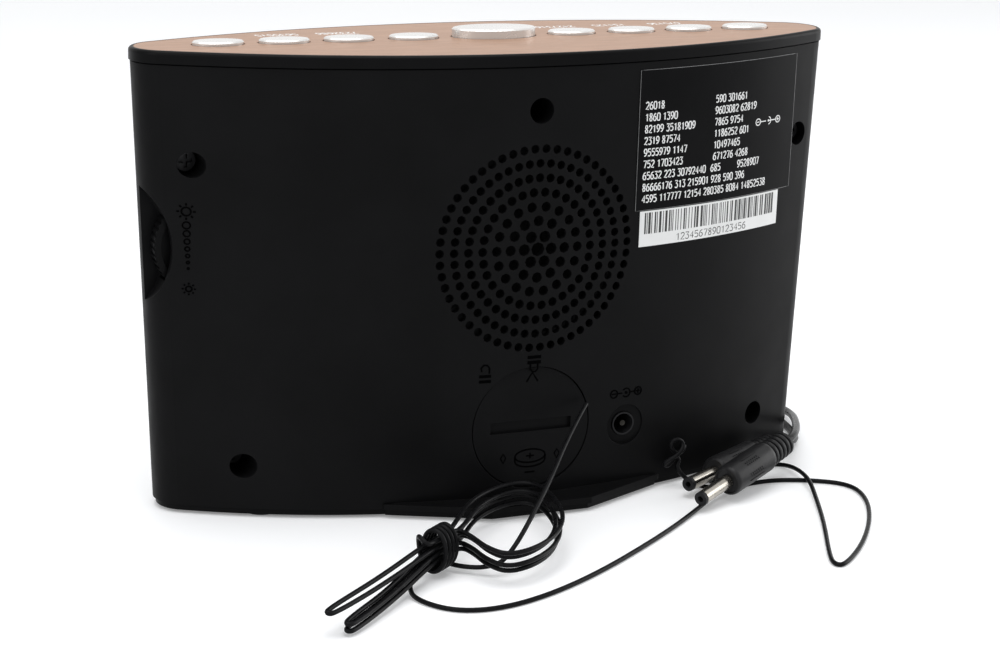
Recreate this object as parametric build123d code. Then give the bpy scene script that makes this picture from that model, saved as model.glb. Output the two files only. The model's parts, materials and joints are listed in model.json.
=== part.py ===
from build123d import *
import os
from math import atan2, cos, pi, radians, sin, sqrt

os.makedirs("parts", exist_ok=True)

# A bed shaker alarm clock, seen from its back: a slim radio clock with its loudspeaker grille,
# dimmer wheel, coin cell door and supply socket behind, nine keys on top and its display in front.
# Lengths are millimetres. The display faces -Y, the grille faces +Y and Z is up. Y is measured from
# the plane where the two shells part; the filed parts are moved so that the origin lies on the
# surface that the clock stands on, under the middle of the casing and its ledge.

# Casing
casing_foot = 2.5
casing_seam = 125.3
foot_half_width = 99.7
seam_half_width = 103.9
foot_back_crown = 35.1
seam_back_crown = 35.9
foot_front_crown = 29.2
seam_front_crown = 30.0
end_radius = 10.2
wall = 2.2
lip_depth = 2.0
lip_thickness = 1.0
slip = 0.1
overrun = 2.0

# Top cover, its rim and the metal plate set into it
cover_height = 3.76
seam_groove = 0.36
groove_depth = 0.8
rim_overhang = 0.4
rim_width = 1.3
rim_round = 1.1
plate_thickness = 1.0
plate_drop = 0.05
skirt_depth = 3.6
skirt_thickness = 1.2

# Keys
key_places = (24.0, 43.0, 61.5, 80.0)
key_width = 14.2
key_depth = 9.0
key_rise = 1.0
key_travel = 0.5
snooze_width = 24.8
snooze_depth = 14.0
snooze_rise = 2.5
snooze_travel = 0.8
key_gap = 0.35
key_chamfer = 0.4
key_flange = 1.0
key_flange_thickness = 1.0
key_float = 0.2
key_stem = 4.0
key_row = 0.0

# Key board under the top cover
board_thickness = 1.6
key_board_length = 178.0
key_board_depth = 20.0
key_board_drop = 5.1
switch_side = 6.0
switch_body = 1.9
switch_height = 2.6
switch_plunger = 3.4
key_post_x = (33.5, 70.8)
key_post_y = 7.5
key_post_width = 4.0
small_screw = 1.6
small_screw_head = 3.0
small_screw_head_height = 1.0

# Loudspeaker grille: one middle hole and seven rings
grille_level = 75.1
ring_pitch = 4.0
ring_counts = (6, 12, 18, 30, 40, 48, 54)
ring_holes = (3.4, 3.1, 2.9, 2.65, 2.6, 2.5, 2.5)
middle_hole = 4.0
hole_sides = 8

# Loudspeaker
speaker_collar_bore = 59.6
speaker_collar_wall = 2.5
speaker_seat = 30.0
speaker_rim = 63.0
gasket_thickness = 0.8
speaker_flange = 1.5
basket_depth = 13.0
basket_throat = 34.0
basket_wall = 1.0
basket_windows = 6
basket_window_width = 12.0
magnet_width = 34.0
magnet_depth = 9.0
cone_mouth = 50.0
cone_throat = 16.0
cone_depth = 9.0
cone_thickness = 0.6
dust_cap_rise = 3.0
speaker_screw_circle = 70.4
speaker_screw_count = 4
speaker_screw_turn = 45.0
speaker_post = 5.0
speaker_screw_head = 9.0
speaker_screw_head_height = 1.2
speaker_screw = 2.0
speaker_screw_length = 8.0

# Screws that hold the two shells together, by place and height
shell_screw_places = ((91.0, 98.9), (-93.4, 98.9), (0.0, 113.5), (78.6, 15.0), (-80.6, 15.0))
shell_screw_well = 7.0
shell_screw_boss = 10.0
shell_screw_joint = 2.0
shell_screw_web = 2.0
shell_screw = 3.0
shell_screw_head = 5.6
shell_screw_head_height = 2.2
shell_screw_length = 12.0
front_boss = 7.0
screw_clearance = 0.4
thread_clearance = 0.1

# Coin cell, its cup, contacts and turning door
door_level = 23.7
door_width = 35.0
door_drop = 0.9
door_thickness = 1.8
door_gap = 0.3
door_slot_length = 24.4
door_slot_width = 3.3
door_slot_depth = 1.3
door_slot_rise = 0.4
door_skirt = 29.0
door_skirt_depth = 4.2
door_ledge = 1.5
door_lug_reach = 1.5
door_lug_thickness = 1.2
door_lug_width = 6.0
door_lug_count = 3
door_turn_in = 40.0
door_play = 0.15
cup_wall = 1.6
cup_floor = 1.6
cup_depth = 11.0
cell_width = 20.0
cell_thickness = 3.2
holder_width = 32.4
holder_wall_rise = 2.6
cell_play = 0.2
contact_thickness = 0.3
contact_width = 4.0
contact_spring = 2.0

# Supply socket and its board
jack_place = -30.0
jack_level = 21.0
jack_recess = 12.0
jack_recess_floor = 31.2
jack_collar = 6.8
jack_collar_proud = 0.5
jack_bore = 5.9
jack_bore_depth = 9.5
jack_pin = 1.6
jack_body_width = 9.0
jack_body_height = 9.0
jack_body_depth = 13.0
jack_boss = 15.0
power_board_left = -57.0
power_board_right = -20.0
power_board_low = 6.5
power_board_high = 38.0
power_post_places = ((-52.5, 33.5), (-24.5, 33.5))
power_post_width = 5.0

# Radio aerial wire outlet
aerial_place = -51.7
aerial_level = 10.8
aerial_hole = 2.2
terminal_width = 4.0
terminal_depth = 3.0

# Dimmer wheel in its scoop at the end of the case
wheel_axis = 86.0
wheel_level = 75.4
wheel_radius = 14.0
wheel_near = 2.4
wheel_thickness = 4.4
wheel_grips = 48
wheel_grip_depth = 0.3
wheel_grip_width = 0.8
wheel_clearance = 0.6
wheel_hub = 9.0
wheel_web = 2.0
scoop_radius = 23.0
scoop_edge = 95.7
scoop_start = 1.6
spindle = 6.0
spindle_play = 0.05
pot_side = 12.0
pot_near = 1.4
pot_depth = 6.0
pot_board_length = 24.0
pot_board_height = 26.0
pot_post_width = 4.0
pot_post_rise = 10.0

# Charging socket in the other end
usb_level = 75.0
usb_width = 13.1
usb_height = 5.7
usb_length = 14.0
usb_skin = 0.4
usb_tongue_width = 10.0
usb_tongue_thickness = 1.8
usb_tongue_length = 9.0
usb_back = 2.0
usb_inset = 0.4
usb_slot_gap = 0.3
usb_board_length = 19.0
usb_board_height = 26.0
usb_board_inset = 4.6
usb_post_rise = 9.0

# Display window and the digits behind it
lens_half_width = 84.0
lens_low = 22.0
lens_high = 106.0
lens_corner = 9.0
lens_thickness = 1.2
lens_ledge = 4.0
lens_gap = 0.15
display_half_width = 58.0
display_low = 40.0
display_high = 88.0
display_front = 20.0
digit_height = 34.0
digit_width = 19.0
digit_pitch = 26.0
colon_room = 8.0
segment_width = 3.4
segment_gap = 0.5
segment_rise = 0.3

# Main board behind the display
main_board_front = 8.0
main_board_half_width = 66.0
main_board_low = 12.8
main_board_high = 109.4
main_post_x = 60.0
main_post_low = 17.0
main_post_high = 107.0
main_post_width = 5.0

# Radio module that calls the shaker pad
module_length = 26.0
module_height = 16.0
module_place = -50.0
module_level = 52.0
module_chip = 7.0
module_chip_height = 1.4
module_whip = 1.2
module_whip_length = 34.0

# Base plate, ledge and feet
base_thickness = 1.7
base_inset = 0.8
ledge_thickness = 1.7
ledge_root_half_width = 42.4
ledge_root = 31.0
ledge_edge_half_width = 15.3
ledge_edge = 43.6
foot_width = 10.0
foot_height = 1.7
foot_places = ((72.0, 12.5), (-72.0, 12.5), (76.0, -7.0), (-76.0, -7.0), (17.0, 34.0), (-17.0, 34.0))
base_screw_places = ((50.0, 12.0), (-50.0, 12.0), (50.0, -12.0), (-50.0, -12.0))
base_screw_boss = 7.0
base_screw_boss_height = 6.0
base_screw_head = 5.0
base_screw_head_height = 1.0
base_screw = 2.6
base_screw_length = 6.0

# Labels on the back, each by its side and level limits
label_thickness = 0.15
rating_label = (-90.5, -30.2, 83.4, 123.2)
code_label = (-85.5, -32.0, 73.0, 83.2)

# Cords: each corner's arc takes this share of its shorter run
route_share = 0.45
least_turn = 1e-6

# Supply lead: two moulded plugs, their leads, the joint, the coiled lead and the mains adapter
plug_barrel = 4.0
plug_barrel_bore = 1.8
plug_barrel_length = 13.4
plug_tip_length = 1.2
plug_body = 9.0
plug_body_length = 19.8
plug_nose = 1.0
plug_relief = 8.0
plug_relief_end = 7.4
plug_relief_length = 10.5
relief_ribs = 4
relief_slot = 0.9
relief_core = 4.8
plug_heading = -151.42
near_plug_face = (-55.35, 48.87, 6.3)
near_plug_rise = 8.45
far_plug_face = (-57.9, 36.3, 4.7)
far_plug_rise = 1.6
lead_width = 2.4
lead_sides = 6
near_lead_start = 4.9
near_lead_route = (
    (-95.5, 17.9, 8.9), (-107.0, -1.0, 5.4), (-113.6, -17.0, 2.2), (-113.4, -36.0, 1.25),
    (-103.0, -50.8, 2.6))
far_lead_start = 5.0
far_lead_route = (
    (-102.6, 7.6, 1.25), (-107.4, -10.5, 1.25), (-107.4, -36.0, 1.25), (-100.5, -47.2, 2.6))
joint_start = (-90.0, -49.0, 2.6)
joint_length = 15.0
joint_width = 9.0
joint_height = 5.2
joint_round = 1.5
joint_pitch = 3.6
trunk_width = 3.4
trunk_sides = 6
coil_place = -42.0
coil_outer = 23.0
coil_step = 2.0
coil_layer = 3.95
coil_half_turns = 16
coil_half_turns_in = 4
adapter_place = 2.0
adapter_length = 52.0
adapter_width = 38.0
adapter_round = 4.0
adapter_relief = 12.0
adapter_relief_root = 8.0
adapter_relief_tip = 5.0
pin_width = 4.0
pin_length = 19.0
pin_pitch = 18.6

# Aerial wire: the free lead, the tied hank, its wraps and the loose end
aerial_width = 1.3
aerial_sides = 6
aerial_knot = (
    (-51.7, 28.6, 10.8), (-51.4, 31.5, 12.6), (-50.6, 31.8, 15.1), (-47.9, 32.0, 14.9),
    (-48.0, 32.3, 12.2), (-45.6, 32.0, 10.2), (-44.6, 31.6, 7.2), (-47.3, 31.9, 6.3),
    (-50.2, 33.0, 4.0), (-53.2, 33.3, 0.9))
aerial_floor = (
    (-56.2, 36.8, 0), (-60.5, 40.4, 0), (-74.5, 36.9, 0), (-86.5, 40.3, 0), (-97.2, 47.8, 0),
    (-95.2, 60.5, 0), (-86.5, 76.5, 0), (-74.0, 93.0, 0), (-61.6, 104.9, 0), (-59.0, 103.9, 0),
    (-60.7, 98.2, 0), (-73.0, 74.0, 0),
    (-81.3, 55.0, 0.2), (-84.9, 44.8, 1.8), (-86.4, 35.4, 1.8), (-87.2, 25.4, 0), (-81.3, 23.9, 0),
    (-75.2, 32.4, 0.2), (-67.0, 37.3, 1.8), (-58.4, 42.2, 1.8), (-45.0, 52.6, 0.2), (-25.5, 68.8, 0),
    (7.0, 91.8, 0), (31.5, 103.2, 0), (47.5, 102.6, 0), (55.3, 91.5, 0))
aerial_climb = ((54.2, 83.5, 1.5), (50.3, 80.1, 3.7))
hank_loops = 4
hank_step = 1.75
hank_ring = (
    (24.5, 53.2, 224, 4.7, 0.0), (8.5, 44.4, 190, 5.3, 0.0), (3.0, 52.0, 92, 5.2, 0.0),
    (6.5, 70.5, 64, 4.4, 0.2), (21.5, 86.0, 32, 3.3, 0.4), (30.4, 86.6, -45, 3.1, 0.5),
    (32.9, 79.5, -84, 3.6, 0.5), (33.4, 75.1, -80, 4.0, 0.5))
hank_spread = (0.0, 1.2, -1.0, 2.0)
hank_middle = (19.0, 66.0)
tie_place = (42.4, 75.1)
tie_level = 4.4
tie_heading = 38.0
tie_mouth = 4.4
tie_mouth_far = 6.5
tie_start = 5.5
tie_exit = 5.0
tie_turn_along = 8.0
tie_turn_across = -0.8
tie_turn_level = 12.5
tie_wrap_start = 4.2
tie_wraps = 4.25
tie_wrap_step = 1.8
tie_half_width = 3.7
tie_half_height = 5.5
strand_offset = 1.15
tail_tips = ((77.3, 106.4, 2.1), (77.3, 106.4, 3.85), (82.2, 106.6, 7.2))
tail_fold = 1.6
loose_end = (
    (31.5, 79.8, 2.1), (26.0, 82.4, 4.6), (6.3, 62.4, 17.0), (-5.9, 47.3, 24.6), (-15.5, 37.3, 29.8))
loose_start = 5.0


# Helpers

made = {}


def keep(name, *solids):
    """Files one sub-part under its name, as one solid or as a group of separate ones."""
    parts = [s for shape in solids for s in shape.solids()]
    made[name] = parts[0] if len(parts) == 1 else Compound(children=[Part() + s for s in parts])


def outline(level, inset=0):
    """The casing's plan outline: a back and a front arc with two tight ends, all tangent."""
    share = (level - casing_foot) / (casing_seam - casing_foot)
    half = foot_half_width + (seam_half_width - foot_half_width) * share - inset
    back = foot_back_crown + (seam_back_crown - foot_back_crown) * share - inset
    front = foot_front_crown + (seam_front_crown - foot_front_crown) * share - inset
    end = end_radius - inset
    reach = half - end

    def tangent_point(crown):
        arc = (reach**2 + crown**2 - end**2) / (2 * (crown - end))
        return reach * arc / (arc - end), (arc - crown) * end / (arc - end)

    bx, by = tangent_point(back)
    fx, fy = tangent_point(front)
    arcs = [
        ThreePointArc((bx, by, level), (0, back, level), (-bx, by, level)),
        ThreePointArc((-bx, by, level), (-half, 0, level), (-fx, -fy, level)),
        ThreePointArc((-fx, -fy, level), (0, -front, level), (fx, -fy, level)),
        ThreePointArc((fx, -fy, level), (half, 0, level), (bx, by, level)),
    ]
    return Face(Wire([arc.edge() for arc in arcs]))


def form(inset=0):
    """The casing's outer form drawn in by the inset."""
    return loft([outline(casing_foot, inset), outline(casing_seam, inset)], ruled=True)


def surface_y(x, level, inset=0):
    """How far the back surface lies from the parting plane at a place."""
    share = (level - casing_foot) / (casing_seam - casing_foot)
    half = foot_half_width + (seam_half_width - foot_half_width) * share - inset
    crown = foot_back_crown + (seam_back_crown - foot_back_crown) * share - inset
    end = end_radius - inset
    reach = half - end
    arc = (reach**2 + crown**2 - end**2) / (2 * (crown - end))
    if abs(x) > reach * arc / (arc - end):
        return sqrt(max(end**2 - (abs(x) - reach) ** 2, 0))
    return crown - arc + sqrt(arc**2 - x**2)


def block(x0, x1, y0, y1, z0, z1):
    """A box between two corners."""
    return Pos((x0 + x1) / 2, (y0 + y1) / 2, (z0 + z1) / 2) * Box(x1 - x0, y1 - y0, z1 - z0)


def rod_y(x, z, width, y0, y1):
    """A round bar along Y between two depths."""
    return extrude(Plane(origin=(x, y0, z), x_dir=(1, 0, 0), z_dir=(0, 1, 0)) * Circle(width / 2), y1 - y0)


def rod_z(x, y, width, z0, z1):
    """A round bar along Z between two levels."""
    return extrude(Plane(origin=(x, y, z0)) * Circle(width / 2), z1 - z0)


def ring_y(x, z, outer, inner, y0, y1):
    """A round tube along Y between two depths."""
    return rod_y(x, z, outer, y0, y1) - rod_y(x, z, inner, y0 - overrun, y1 + overrun)


def half_space_back(depth=0):
    """Everything behind the parting plane, from a depth on."""
    reach = 2 * seam_half_width
    return block(-reach, reach, depth, reach, -reach, reach)


def half_space_front(depth=0):
    """Everything in front of the parting plane, up to a depth."""
    reach = 2 * seam_half_width
    return block(-reach, reach, -reach, depth, -reach, reach)


# Casing forms shared by both shells

outer_form = form()
middle_form = form(wall / 2)
inner_form = form(wall) & block(
    -seam_half_width, seam_half_width, -seam_half_width, seam_half_width,
    casing_foot + wall, casing_seam + overrun)


def lip(outer_inset, y0, y1):
    """A layer of the lip inside the casing's ends, between two depths."""
    room = block(-seam_half_width, seam_half_width, y0, y1,
                 casing_foot + wall + slip, casing_seam - skirt_depth - 2 * slip)
    return (form(outer_inset) - form(wall + slip + lip_thickness)) & room


# Rear shell

def grille_cells():
    """The pattern of grille holes, drawn in the plane of the back."""
    holes = [RegularPolygon(middle_hole / 2, hole_sides)]
    for ring, (count, width) in enumerate(zip(ring_counts, ring_holes), 1):
        for step in range(count):
            turn = 2 * pi * step / count
            place = Pos(ring * ring_pitch * cos(turn), ring * ring_pitch * sin(turn))
            holes.append(place * RegularPolygon(width / 2, hole_sides))
    return Sketch() + holes


def scoop(grow, start):
    """The finger scoop beside the dimmer wheel, as a round bar across the end of the case."""
    centre = scoop_edge + scoop_radius
    return rod_y(centre, wheel_level, 2 * (scoop_radius + grow), start, seam_back_crown)


def ledge():
    """The low step behind the casing's foot, over the base plate."""
    corners = [(ledge_root_half_width, ledge_root), (ledge_edge_half_width, ledge_edge),
               (-ledge_edge_half_width, ledge_edge), (-ledge_root_half_width, ledge_root)]
    plan = make_face(Polyline(*corners, close=True))
    return extrude(Plane(origin=(0, 0, casing_foot)) * plan, ledge_thickness)


def shell_boss_rear(x, z):
    """A screw well's tube, from the parting plane out to the casing's wall."""
    return rod_y(x, z, shell_screw_boss, shell_screw_joint, seam_back_crown) & middle_form


def base_boss(x, y):
    """A boss inside the casing's floor for a base plate screw."""
    return rod_z(x, y, base_screw_boss, casing_foot + wall / 2, casing_foot + base_screw_boss_height)


def base_pilot(x, y):
    """The hole that a base plate screw drives into."""
    return rod_z(x, y, base_screw + thread_clearance, casing_foot - overrun,
                 casing_foot - base_thickness + base_screw_head_height + base_screw_length)


door_face = foot_back_crown + (seam_back_crown - foot_back_crown) * (
    (door_level - casing_foot) / (casing_seam - casing_foot)) - door_drop
door_seat = door_face - door_thickness
ledge_bore = door_skirt + 2 * door_gap
lug_bore = door_skirt + 2 * (door_lug_reach + door_gap + slip)
cup_floor_y = door_face - cup_depth
cup_outer = door_width + 2 * (door_gap + cup_wall)


def cell_cup():
    """The blind cup behind the door, closed at its floor."""
    return rod_y(0, door_level, cup_outer, cup_floor_y - cup_floor, seam_back_crown) & middle_form


def cell_cup_hollow():
    """The door's opening, the ledge that the door turns against and the room for its lugs."""
    mouth = rod_y(0, door_level, door_width + 2 * door_gap, door_seat, seam_back_crown + overrun)
    throat = rod_y(0, door_level, ledge_bore, door_seat - door_ledge, door_seat)
    room = rod_y(0, door_level, lug_bore, cup_floor_y, door_seat - door_ledge)
    notches = door_lugs(door_gap, door_seat - door_ledge - slip, door_seat + slip, door_turn_in)
    return mouth + throat + room + notches



def door_lugs(grow, y0, y1, turn):
    """The door's bayonet lugs, or with some growth the notches that let them in."""
    reach = door_skirt / 2 + door_lug_reach + grow
    half = door_lug_width / 2 + grow
    lug = block(0, reach, y0, y1, -half, half) & rod_y(0, 0, 2 * reach, y0, y1)
    lugs = [
        Pos(0, 0, door_level) * Rot(0, turn + 360 * n / door_lug_count, 0) * lug
        for n in range(door_lug_count)
    ]
    return Part() + lugs


def power_post(x, z):
    """A post inside the back wall that carries the power board."""
    return rod_y(x, z, power_post_width, power_board_back, seam_back_crown) & middle_form


jack_front = jack_recess_floor + jack_collar_proud
jack_body_back = jack_recess_floor - wall
power_board_back = jack_body_back - jack_body_depth + board_thickness
jack_body_end = jack_body_back - jack_body_depth + board_thickness


def speaker_post_places():
    """Where the loudspeaker's screws stand, round its rim."""
    for n in range(speaker_screw_count):
        turn = radians(speaker_screw_turn + 360 * n / speaker_screw_count)
        yield (speaker_screw_circle / 2 * cos(turn), grille_level + speaker_screw_circle / 2 * sin(turn))


speaker_back = speaker_seat - gasket_thickness - speaker_flange

rear_posts = [shell_boss_rear(bx, bz) for bx, bz in shell_screw_places]
rear_posts += [base_boss(bx, by) for bx, by in base_screw_places if by > 0]
rear_posts += [power_post(px, pz) for px, pz in power_post_places]
rear_posts += [rod_y(sx, sz, speaker_post, speaker_back, seam_back_crown) & middle_form
               for sx, sz in speaker_post_places()]
rear_posts.append(middle_form & ring_y(
    0, grille_level, speaker_collar_bore + 2 * speaker_collar_wall, speaker_collar_bore,
    speaker_seat, seam_back_crown))
rear_posts.append(cell_cup())
rear_posts.append(rod_y(jack_place, jack_level, jack_boss, jack_body_back, seam_back_crown) & middle_form)
rear_posts.append((scoop(wall, 0) & middle_form)
                  - block(-seam_half_width, wheel_axis, 0, seam_back_crown, 0, casing_seam))
rear_posts.append(lip(wall / 2, 0, wall) + lip(wall + slip, -lip_depth, 0))
rear_posts.append(ledge() - middle_form)

usb_mouth = foot_half_width + (seam_half_width - foot_half_width) * (
    (usb_level - casing_foot) / (casing_seam - casing_foot))
usb_slot = block(-usb_mouth - overrun, -usb_mouth + 3 * wall,
                 -usb_height / 2 - usb_slot_gap, usb_height / 2 + usb_slot_gap,
                 usb_level - usb_width / 2 - usb_slot_gap, usb_level + usb_width / 2 + usb_slot_gap)

rear_cuts = [rod_y(bx, bz, shell_screw_well, shell_screw_joint + shell_screw_web, seam_back_crown + overrun)
             for bx, bz in shell_screw_places]
rear_cuts += [rod_y(bx, bz, shell_screw + screw_clearance, 0, shell_screw_joint + shell_screw_web + slip)
              for bx, bz in shell_screw_places]
rear_cuts += [rod_y(sx, sz, speaker_screw + thread_clearance, speaker_back - overrun,
                    speaker_back + speaker_screw_length - 2 * speaker_screw_head_height)
              for sx, sz in speaker_post_places()]
rear_cuts += [rod_y(px, pz, small_screw + thread_clearance, power_board_back - overrun,
                    power_board_back + 2 * small_screw_head) for px, pz in power_post_places]
rear_cuts += [base_pilot(bx, by) for bx, by in base_screw_places if by > 0]
rear_cuts.append(cell_cup_hollow())
rear_cuts.append(scoop(0, scoop_start))
rear_cuts.append(rod_y(wheel_axis, wheel_level, 2 * (wheel_radius + wheel_clearance),
                       wheel_near - wheel_clearance, wheel_near + wheel_thickness + wheel_clearance))
rear_cuts.append(rod_y(jack_place, jack_level, jack_recess, jack_recess_floor, seam_back_crown + overrun))
rear_cuts.append(rod_y(jack_place, jack_level, jack_collar + 2 * slip, jack_body_back - overrun,
                       jack_recess_floor + slip))
aerial_surface = surface_y(aerial_place, aerial_level)
rear_cuts.append(rod_y(aerial_place, aerial_level, aerial_hole, aerial_surface - 2 * wall,
                       aerial_surface + overrun))
rear_cuts.append(usb_slot)
grille_plane = Plane(origin=(0, speaker_seat, grille_level), x_dir=(1, 0, 0), z_dir=(0, 1, 0))
grille = extrude(grille_plane * grille_cells(), 2 * (seam_back_crown - speaker_seat))

rear = (outer_form - inner_form) & half_space_back()
rear = rear + rear_posts - rear_cuts - grille
keep("rear_shell", rear)


# Front shell, with the display window

def window(grow, inset_low):
    """The display window's prism, grown or drawn in all round."""
    wide = 2 * (lens_half_width + grow)
    tall = lens_high - lens_low + 2 * grow
    plan = RectangleRounded(wide, tall, lens_corner + grow)
    frame = Plane(origin=(0, -inset_low, (lens_low + lens_high) / 2), x_dir=(1, 0, 0), z_dir=(0, -1, 0))
    return extrude(frame * plan, seam_front_crown + overrun - inset_low)


def front_post(x, z, width, y1):
    """A post standing on the inside of the front wall."""
    return rod_y(x, z, width, -seam_front_crown, y1) & middle_form


def small_pilot(x, z, y1):
    """The hole that a board's small screw drives into, from the front."""
    return rod_y(x, z, small_screw + thread_clearance, y1 - 2 * small_screw_head, y1 + overrun)


main_board_back = -main_board_front + board_thickness
main_posts = [(x, z) for x in (-main_post_x, main_post_x) for z in (main_post_low, main_post_high)]
pot_board_front = pot_near - pot_depth - board_thickness
pot_posts = [(wheel_axis, wheel_level + side * pot_post_rise) for side in (-1, 1)]
usb_board_front = -usb_height / 2 - board_thickness
usb_board_place = -usb_mouth + usb_board_inset + usb_board_length / 2
usb_posts = [(usb_board_place, usb_level + side * usb_post_rise) for side in (-1, 1)]

front_posts = [rod_y(bx, bz, front_boss, -seam_front_crown, shell_screw_joint) & middle_form
               for bx, bz in shell_screw_places]
front_posts += [front_post(px, pz, main_post_width, -main_board_front) for px, pz in main_posts]
front_posts += [front_post(px, pz, pot_post_width, pot_board_front) for px, pz in pot_posts]
front_posts += [front_post(px, pz, pot_post_width, usb_board_front) for px, pz in usb_posts]
front_posts += [base_boss(bx, by) for bx, by in base_screw_places if by < 0]

front_cuts = [window(-lens_ledge, 0), window(lens_gap, 0) - form(lens_thickness), usb_slot]
front_cuts += [rod_y(bx, bz, shell_screw + thread_clearance,
                     shell_screw_joint + shell_screw_web - shell_screw_length - overrun,
                     shell_screw_joint + overrun) for bx, bz in shell_screw_places]
front_cuts += [small_pilot(px, pz, -main_board_front) for px, pz in main_posts]
front_cuts += [small_pilot(px, pz, pot_board_front) for px, pz in pot_posts]
front_cuts += [small_pilot(px, pz, usb_board_front) for px, pz in usb_posts]
front_cuts += [base_pilot(bx, by) for bx, by in base_screw_places if by < 0]

front = (outer_form - inner_form) & half_space_front()
front = front + front_posts - front_cuts
keep("front_shell", front)
keep("display_lens", (form() - form(lens_thickness)) & window(0, 0))


# Top cover and its metal plate

cover_top = casing_seam + cover_height
plate_top = cover_top - plate_drop
plate_foot = plate_top - plate_thickness


def plan_slab(inset, z0, z1):
    """An upright slab of the casing's outline at the seam."""
    return extrude(Plane(origin=(0, 0, z0 - casing_seam)) * outline(casing_seam, inset), z1 - z0)


def keys():
    """Every key by name, with its place, size, rise and travel."""
    places = [x for x in key_places[::-1]] + [-x for x in key_places]
    listed = [(f"key_{n}", x, key_width, key_depth, key_rise, key_travel) for n, x in enumerate(places, 1)]
    return listed + [("snooze_key", 0, snooze_width, snooze_depth, snooze_rise, snooze_travel)]


def key_opening(x, width, depth, z0, z1):
    """The hole that a key works in."""
    hole = Ellipse(width / 2 + key_gap, depth / 2 + key_gap)
    return extrude(Plane(origin=(x, key_row, z0)) * hole, z1 - z0)


key_post_places = [(side * x, row * key_post_y) for x in key_post_x for side in (-1, 1) for row in (-1, 1)]
key_board_top = casing_seam - key_board_drop

cover = plan_slab(-rim_overhang, casing_seam + seam_groove, cover_top)
rim_edges = cover.faces().sort_by(Axis.Z)[-1].edges()
cover = fillet(rim_edges, rim_round)
cover += plan_slab(groove_depth, casing_seam, casing_seam + seam_groove)
cover += plan_slab(wall + slip, casing_seam - skirt_depth, casing_seam) - plan_slab(
    wall + slip + skirt_thickness, casing_seam - skirt_depth - overrun, casing_seam)
for px, py in key_post_places:
    cover += rod_z(px, py, key_post_width, key_board_top, casing_seam)
cover -= plan_slab(rim_width - rim_overhang, plate_foot, cover_top + overrun)
for name, x, width, depth, rise, travel in keys():
    cover -= key_opening(x, width, depth, casing_seam - overrun, cover_top)
for px, py in key_post_places:
    cover -= rod_z(px, py, small_screw + thread_clearance, key_board_top - overrun, casing_seam)
keep("top_cover", cover)

plate = plan_slab(rim_width - rim_overhang + slip, plate_foot, plate_top)
for name, x, width, depth, rise, travel in keys():
    plate -= key_opening(x, width, depth, plate_foot - overrun, plate_top + overrun)
keep("top_plate", plate)


# Keys with their flanges and stems, and the board and switches that they press

flange_top = casing_seam - key_float
flange_foot = flange_top - key_flange_thickness
switch_top = key_board_top + switch_height
for name, x, width, depth, rise, travel in keys():
    seat = Plane(origin=(x, key_row, flange_foot))
    cap = extrude(seat * Ellipse(width / 2, depth / 2), plate_top + rise - flange_foot)
    cap = chamfer(cap.faces().sort_by(Axis.Z)[-1].edges(), key_chamfer)
    flange = extrude(seat * Ellipse(width / 2 + key_flange, depth / 2 + key_flange), key_flange_thickness)
    stem = rod_z(x, key_row, key_stem, switch_top + travel + slip, flange_foot)
    keep(name, cap + flange + stem)

key_board = block(-key_board_length / 2, key_board_length / 2, -key_board_depth / 2, key_board_depth / 2,
                  key_board_top - board_thickness, key_board_top)
for px, py in key_post_places:
    key_board -= rod_z(px, py, small_screw + 2 * slip, key_board_top - 2 * board_thickness,
                       key_board_top + overrun)
keep("key_board", key_board)

switches = []
for name, x, width, depth, rise, travel in keys():
    base = block(x - switch_side / 2, x + switch_side / 2,
                 key_row - switch_side / 2, key_row + switch_side / 2,
                 key_board_top, key_board_top + switch_body)
    switches.append(base + rod_z(x, key_row, switch_plunger, key_board_top + switch_body, switch_top))
keep("key_switches", *switches)


def small_screw_z(x, y, head_top, length):
    """A small screw driven upwards, head down."""
    head = rod_z(x, y, small_screw_head, head_top - small_screw_head_height, head_top)
    return head + rod_z(x, y, small_screw, head_top, head_top + length)


def small_screw_y(x, z, head_seat, length, way):
    """A small screw along Y: way 1 drives it towards the back, -1 towards the front."""
    ends = sorted((head_seat, head_seat - way * small_screw_head_height))
    shank = sorted((head_seat, head_seat + way * length))
    return rod_y(x, z, small_screw_head, *ends) + rod_y(x, z, small_screw, *shank)


small_screw_length = board_thickness + small_screw_head
board_screws = [small_screw_z(px, py, key_board_top - board_thickness, small_screw_length)
                for px, py in key_post_places]


# Loudspeaker, its gasket and its screws

flange_front = speaker_seat - gasket_thickness
keep("speaker_gasket", ring_y(0, grille_level, speaker_rim, speaker_collar_bore,
                              flange_front, speaker_seat))

basket_front = speaker_back
basket_end = basket_front - basket_depth
mouth = cone_mouth / 2 + basket_wall
profile = make_face(Polyline(
    (speaker_rim / 2, flange_front), (speaker_rim / 2, basket_front), (mouth + basket_wall, basket_front),
    (basket_throat / 2, basket_end), (cone_throat / 2, basket_end),
    (cone_throat / 2, basket_end + basket_wall),
    ((basket_throat - basket_wall) / 2, basket_end + basket_wall),
    (mouth, basket_front), (mouth, flange_front), close=True))
basket = revolve(profile, Axis.Y)
basket = Pos(0, 0, grille_level) * basket
window_low = basket_end + 2 * basket_wall
window_high = basket_front - 2 * basket_wall
for n in range(basket_windows):
    opening = block(0, speaker_rim, window_low, window_high,
                    -basket_window_width / 2, basket_window_width / 2)
    basket -= Pos(0, 0, grille_level) * Rot(0, 360 * n / basket_windows, 0) * opening
keep("speaker_basket", basket)
keep("speaker_magnet", rod_y(0, grille_level, magnet_width, basket_end - magnet_depth, basket_end))

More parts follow.
